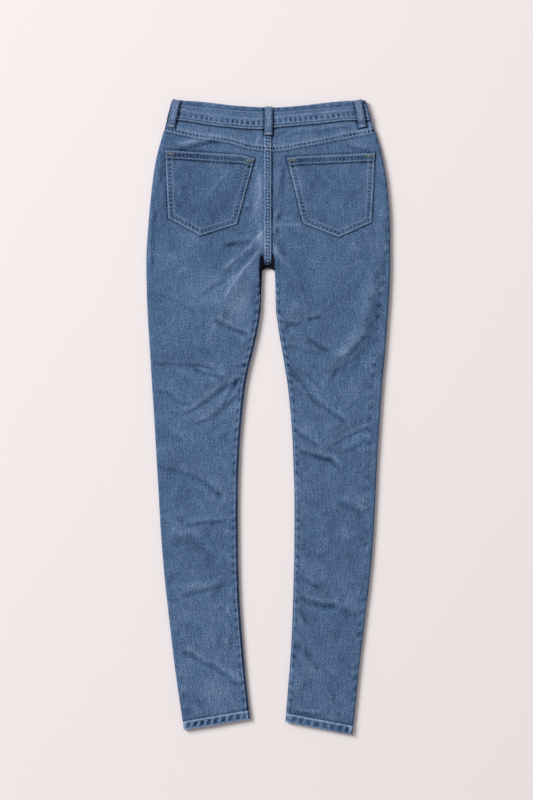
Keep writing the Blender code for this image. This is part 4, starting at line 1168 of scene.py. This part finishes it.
def sewBody():
    for side in sides:
        for off in seams["yoke"]["lines"]:
            sewLine(f"thread_yoke_{sides[side]}", *acrossLeg(side, 1, lambda x: curve(yokeSeam, x) + off))
        heights = np.arange(196.0, hemY + 15, -1.0)
        width = mapAt(side, 1, 0, heights)[..., 2]
        sewLine(f"thread_inseam_{sides[side]}", *clothPoints(side, 1, seams["inseam"]["lines"][0] / width, heights)[:2])
        for face in (1, -1):
            line = acrossLeg(side, face, lambda x: hemHeight(side, x) + seams["hem"]["lines"][0])
            sewLine(f"thread_hem_{sides[side]}", *line, long=3.0)
    for across in seams["centre"]["lines"][1:]:
        y = np.arange(float(curve(waistSeam, across)) - 1, 247, -0.8)
        points = join(across, y, heightAt(across + 0 * y, y)[0])
        sewLine("thread_seat_seam", points, backNormals(points), long=2.5, gap=0.5)


def sewBand():
    points = bandSpots + bandNormals * bandRise
    depth = np.linalg.norm(points[-1] - points[0], axis=-1)
    columns = np.arange(points.shape[1])
    stop = len(columns) - 26  # short of the lap
    for up in seams["band"]["lines"] + (-8.8,):
        place = np.clip(np.where(up > 0, up, depth + up) / depth, 0, 1) * (len(points) - 1)
        i = np.clip(place.astype(int), 0, len(points) - 2)
        t = (place - i)[:, None]
        line = points[i, columns] * (1 - t) + points[i + 1, columns] * t
        sewLine("thread_waistband", line[4:stop], bandNormals[0, 4:stop], thick=1.0 if up > 0 else 0.7)
    # The lower line turns up beside the centre loop.
    column = np.argmin(np.abs(points[0, :, 0] + 13.7) + 99 * (points[0, :, 2] < 5))
    sewLine("thread_waistband", points[1:12, column])


tackShape = {"wide": 0.5, "deep": 5.2, "count": 24, "in": 2.4, "down": 1.9, "thick": 0.7}


def sewPocket(side):
    corners = pocketCorners(side)
    runs = [(end - start) / math.dist(end, start) for start, end in zip(corners, corners[1:] + corners[:1])]

    def inset(off, topOff):
        # Corners of the pocket moved in by an even distance.
        spots = []
        offs = [off] * 4 + [topOff]
        for k, corner in enumerate(corners):
            (ax, ay), (bx, by) = runs[k - 1], runs[k]
            spots.append(corner - side * (offs[k - 1] * runs[k] - offs[k] * runs[k - 1]) / (ax * by - ay * bx))
        return spots

    def lay(start, end, bow=0):
        t = np.linspace(0, 1, max(int(math.dist(end, start) / 0.8), 2))
        x, y = (a * (1 - t) + b * t for a, b in zip(start, end))
        y = y + bow * pocketBulge(side, t)
        points = join(x, y, pocketRelief(side, x, y)[0])
        sewLine(f"thread_back_pocket_{sides[side]}", points, backNormals(points))

    for off in seams["pocketSide"]["lines"]:
        spots = inset(off, 1.2)
        for start, end in zip(spots, spots[1:]):
            lay(start, end)
    for off in seams["pocketHem"]["lines"]:
        spots = inset(1.2, off)
        lay(spots[4], spots[0], bow=1)
    outer, *_, inner = inset(tackShape["in"], tackShape["down"])
    k = np.arange(tackShape["count"])[:, None] * tackShape["wide"]
    zigzag = np.arange(tackShape["count"])[:, None] % 2 * tackShape["wide"]
    for start, end in ((outer, inner), (inner, outer)):
        starts = start + (end - start) / math.dist(end, start) * k - (0.0, 1.0) * zigzag
        spots = np.stack([starts - (0.0, tackShape["deep"] * t) for t in (0.0, 0.5, 1.0)], axis=1)
        z = pocketRelief(side, spots[..., 0], spots[..., 1])[0]
        for spot in np.concatenate([spots, z[..., None]], axis=-1):
            sewLine("tack_back_pockets", spot, long=5.0, gap=0.0, thick=tackShape["thick"])


def sewLoop(name):
    length = math.dist(*loops[name])
    way = np.arange(1.0, length - 1, 0.8)
    for off in (-loopLook["sewnAt"], loopLook["sewnAt"]):
        sewLine("thread_belt_loops", loopPoints(name, off / loopWidth + 0 * way, way), thick=0.85)
    w = np.linspace(-4.6, 4.6, 20) / loopWidth
    for end in (2.0, length - 2.2):
        for lineWay in (end - 0.6, end + 0.7):
            points = loopPoints(name, w, lineWay + 0 * w) - 0.1 * upwards
            sewLine("tack_belt_loops", points, long=1.5, gap=0.0, thick=0.9)


flyShape = {"top": 458, "deep": 190, "wide": 36, "apart": 5.5, "off": 2, "bend": 0.62}


def sewFly():
    # Curved double line of the fly on the hidden front.
    t = np.linspace(0, 1, 160)
    fly = flyShape
    y = fly["top"] - fly["deep"] * t
    for off in (0, fly["apart"]):
        bend = np.clip((t - fly["bend"]) / (1 - fly["bend"] - off / fly["deep"]), 0, 1)
        x = -fly["off"] - (fly["wide"] - off) * np.sqrt(np.clip(1 - bend ** 2.4, 0, 1))
        z = faceHeight(-1, -1, -x, y) - frontRelief(-1, x, y, farOff, farOff)[0]
        sewLine("thread_fly", join(x, y, z), -upwards)


sewBody()
sewBand()
for side in sides:
    sewPocket(side)
for name in loops:
    sewLoop(name)
sewFly()
for name in sewing:
    addSewing(name)
print("sewing ready:", sum(len(part) for parts in sewing.values() for part in parts) // len(stitchPoints), "stitches")

buttonLook = {
    "radius": 8.5, "height": 0.9, "place": (-11.0, 479.0), "worn": "#C2AE82", "dark": "#5E5038",
    "rings": ((1.2, 0.0), (0.5, 0.25), (2.2, -0.05), (0.4, -0.12)),  # way in, way up
}


def makeButtonMetal():
    # Antique brass plate, stamped and tumbled: dull in the hollows, brighter on the worn rim.
    material, add, wire = startMaterial("antique_brass_stamped", {"Metallic": 1.0})
    place = add("ShaderNodeTexCoord")
    grain = add("ShaderNodeTexNoise", {"in2": 900.0, "in3": 4.0}, i0=place.outputs[3])
    stops = ((0.35, linear(buttonLook["dark"])), (0.7, linear(buttonLook["worn"])))
    wire(add("ShaderNodeValToRGB", {"stops": stops}, i0=grain), "Base Color")
    wire(add("ShaderNodeMapRange", {"in3": 0.32, "in4": 0.55}, i0=grain), "Roughness")
    return material


def addButton():
    # Plain shank button head: a stamped disc with a raised rim and a shallow hollow, facing down.
    x, y = buttonLook["place"]
    height = buttonLook["height"] * mm
    piece = startPiece("shank_button", bpy.ops.mesh.primitive_cylinder_add, vertices=48,
                       radius=buttonLook["radius"] * mm, depth=height, location=(x * mm, y * mm, height / 2))
    bpy.ops.object.transform_apply(location=True, rotation=False, scale=False)
    bpy.ops.object.mode_set(mode="EDIT")
    bpy.ops.mesh.select_mode(type="FACE")
    bpy.ops.mesh.select_all(action="DESELECT")
    bpy.ops.object.mode_set(mode="OBJECT")
    for face in piece.data.polygons:
        face.select = face.normal.z < -0.9
    bpy.ops.object.mode_set(mode="EDIT")
    for inset, up in buttonLook["rings"]:
        bpy.ops.mesh.inset(thickness=inset * mm, depth=0)
        bpy.ops.transform.translate(value=(0, 0, up * mm))
    bpy.ops.object.mode_set(mode="OBJECT")
    roundEdges(piece, 0.18, 40)
    bpy.ops.object.shade_smooth_by_angle(angle=math.radians(35))
    dress(piece, makeButtonMetal(), "waist_button")


addButton()
print("button ready")

studio = {
    "floor": "#F3EBEA", "worldColour": "#F4F2F3", "world": 0.40, "keyPower": 1640.0, "keySize": 6.0,
    "keyPlace": (-8.2, 5.6, 6.8), "lens": 85.0, "sensor": 36.0, "viewHeight": 1.28, "viewCentre": (-0.0028, 0.0272),
}


def place(name, data, location):
    # Puts a light or the camera in the scene.
    holder = bpy.data.objects.new(name, data)
    holder.location = location
    bpy.context.scene.collection.objects.link(holder)
    return holder


def addFloor():
    floor = startPiece("studio_floor", bpy.ops.mesh.primitive_plane_add, size=12, location=(0, 0, -0.0004))
    paint, _, _ = startMaterial("matt_painted_floor", {  # plain pale paint, no gloss
        "Base Color": linear(studio["floor"]), "Roughness": 0.95, "Specular IOR Level": 0.1})
    floor.data.materials.append(paint)
    floor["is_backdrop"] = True


def addLight():
    world = bpy.data.worlds.new("studio")
    world.use_nodes = True
    sky = world.node_tree.nodes["Background"]
    sky.inputs["Color"].default_value = linear(studio["worldColour"])
    sky.inputs["Strength"].default_value = studio["world"]
    bpy.context.scene.world = world
    key = bpy.data.lights.new("key", "AREA")
    key.shape, key.size, key.energy = "DISK", studio["keySize"], studio["keyPower"]
    lamp = place("key", key, studio["keyPlace"])
    lamp.rotation_euler = (-Vector(studio["keyPlace"])).to_track_quat("-Z", "Y").to_euler()


def addCamera():
    camera = bpy.data.cameras.new("photoView")
    camera.lens, camera.sensor_width = studio["lens"], studio["sensor"]
    height = studio["viewHeight"] * studio["lens"] / studio["sensor"] + 0.007
    bpy.context.scene.camera = place("photoView", camera, (*studio["viewCentre"], height))


addFloor()
addLight()
addCamera()
bpy.context.scene.view_settings.view_transform = "Standard"

sewnOn = {
    "denim_waistband": ["thread_waistband"], "denim_front_leg_left": ["thread_fly"],
    "denim_back_leg_left": ["thread_seat_seam"], "denim_back_pocket_left": ["tack_back_pockets"],
    "denim_belt_loop_back_centre": ["thread_belt_loops", "tack_belt_loops"],
}
for side in sides.values():
    sewnOn.setdefault(f"denim_back_leg_{side}", []).extend([f"thread_inseam_{side}", f"thread_hem_{side}"])
    sewnOn.setdefault(f"denim_back_pocket_{side}", []).append(f"thread_back_pocket_{side}")
    sewnOn[f"denim_yoke_{side}"] = [f"thread_yoke_{side}"]

triangles = {o.name: sum(len(f.vertices) - 2 for f in o.data.polygons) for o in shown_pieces()}
print("triangles:", sum(triangles.values()), "most:", max(triangles.values()))
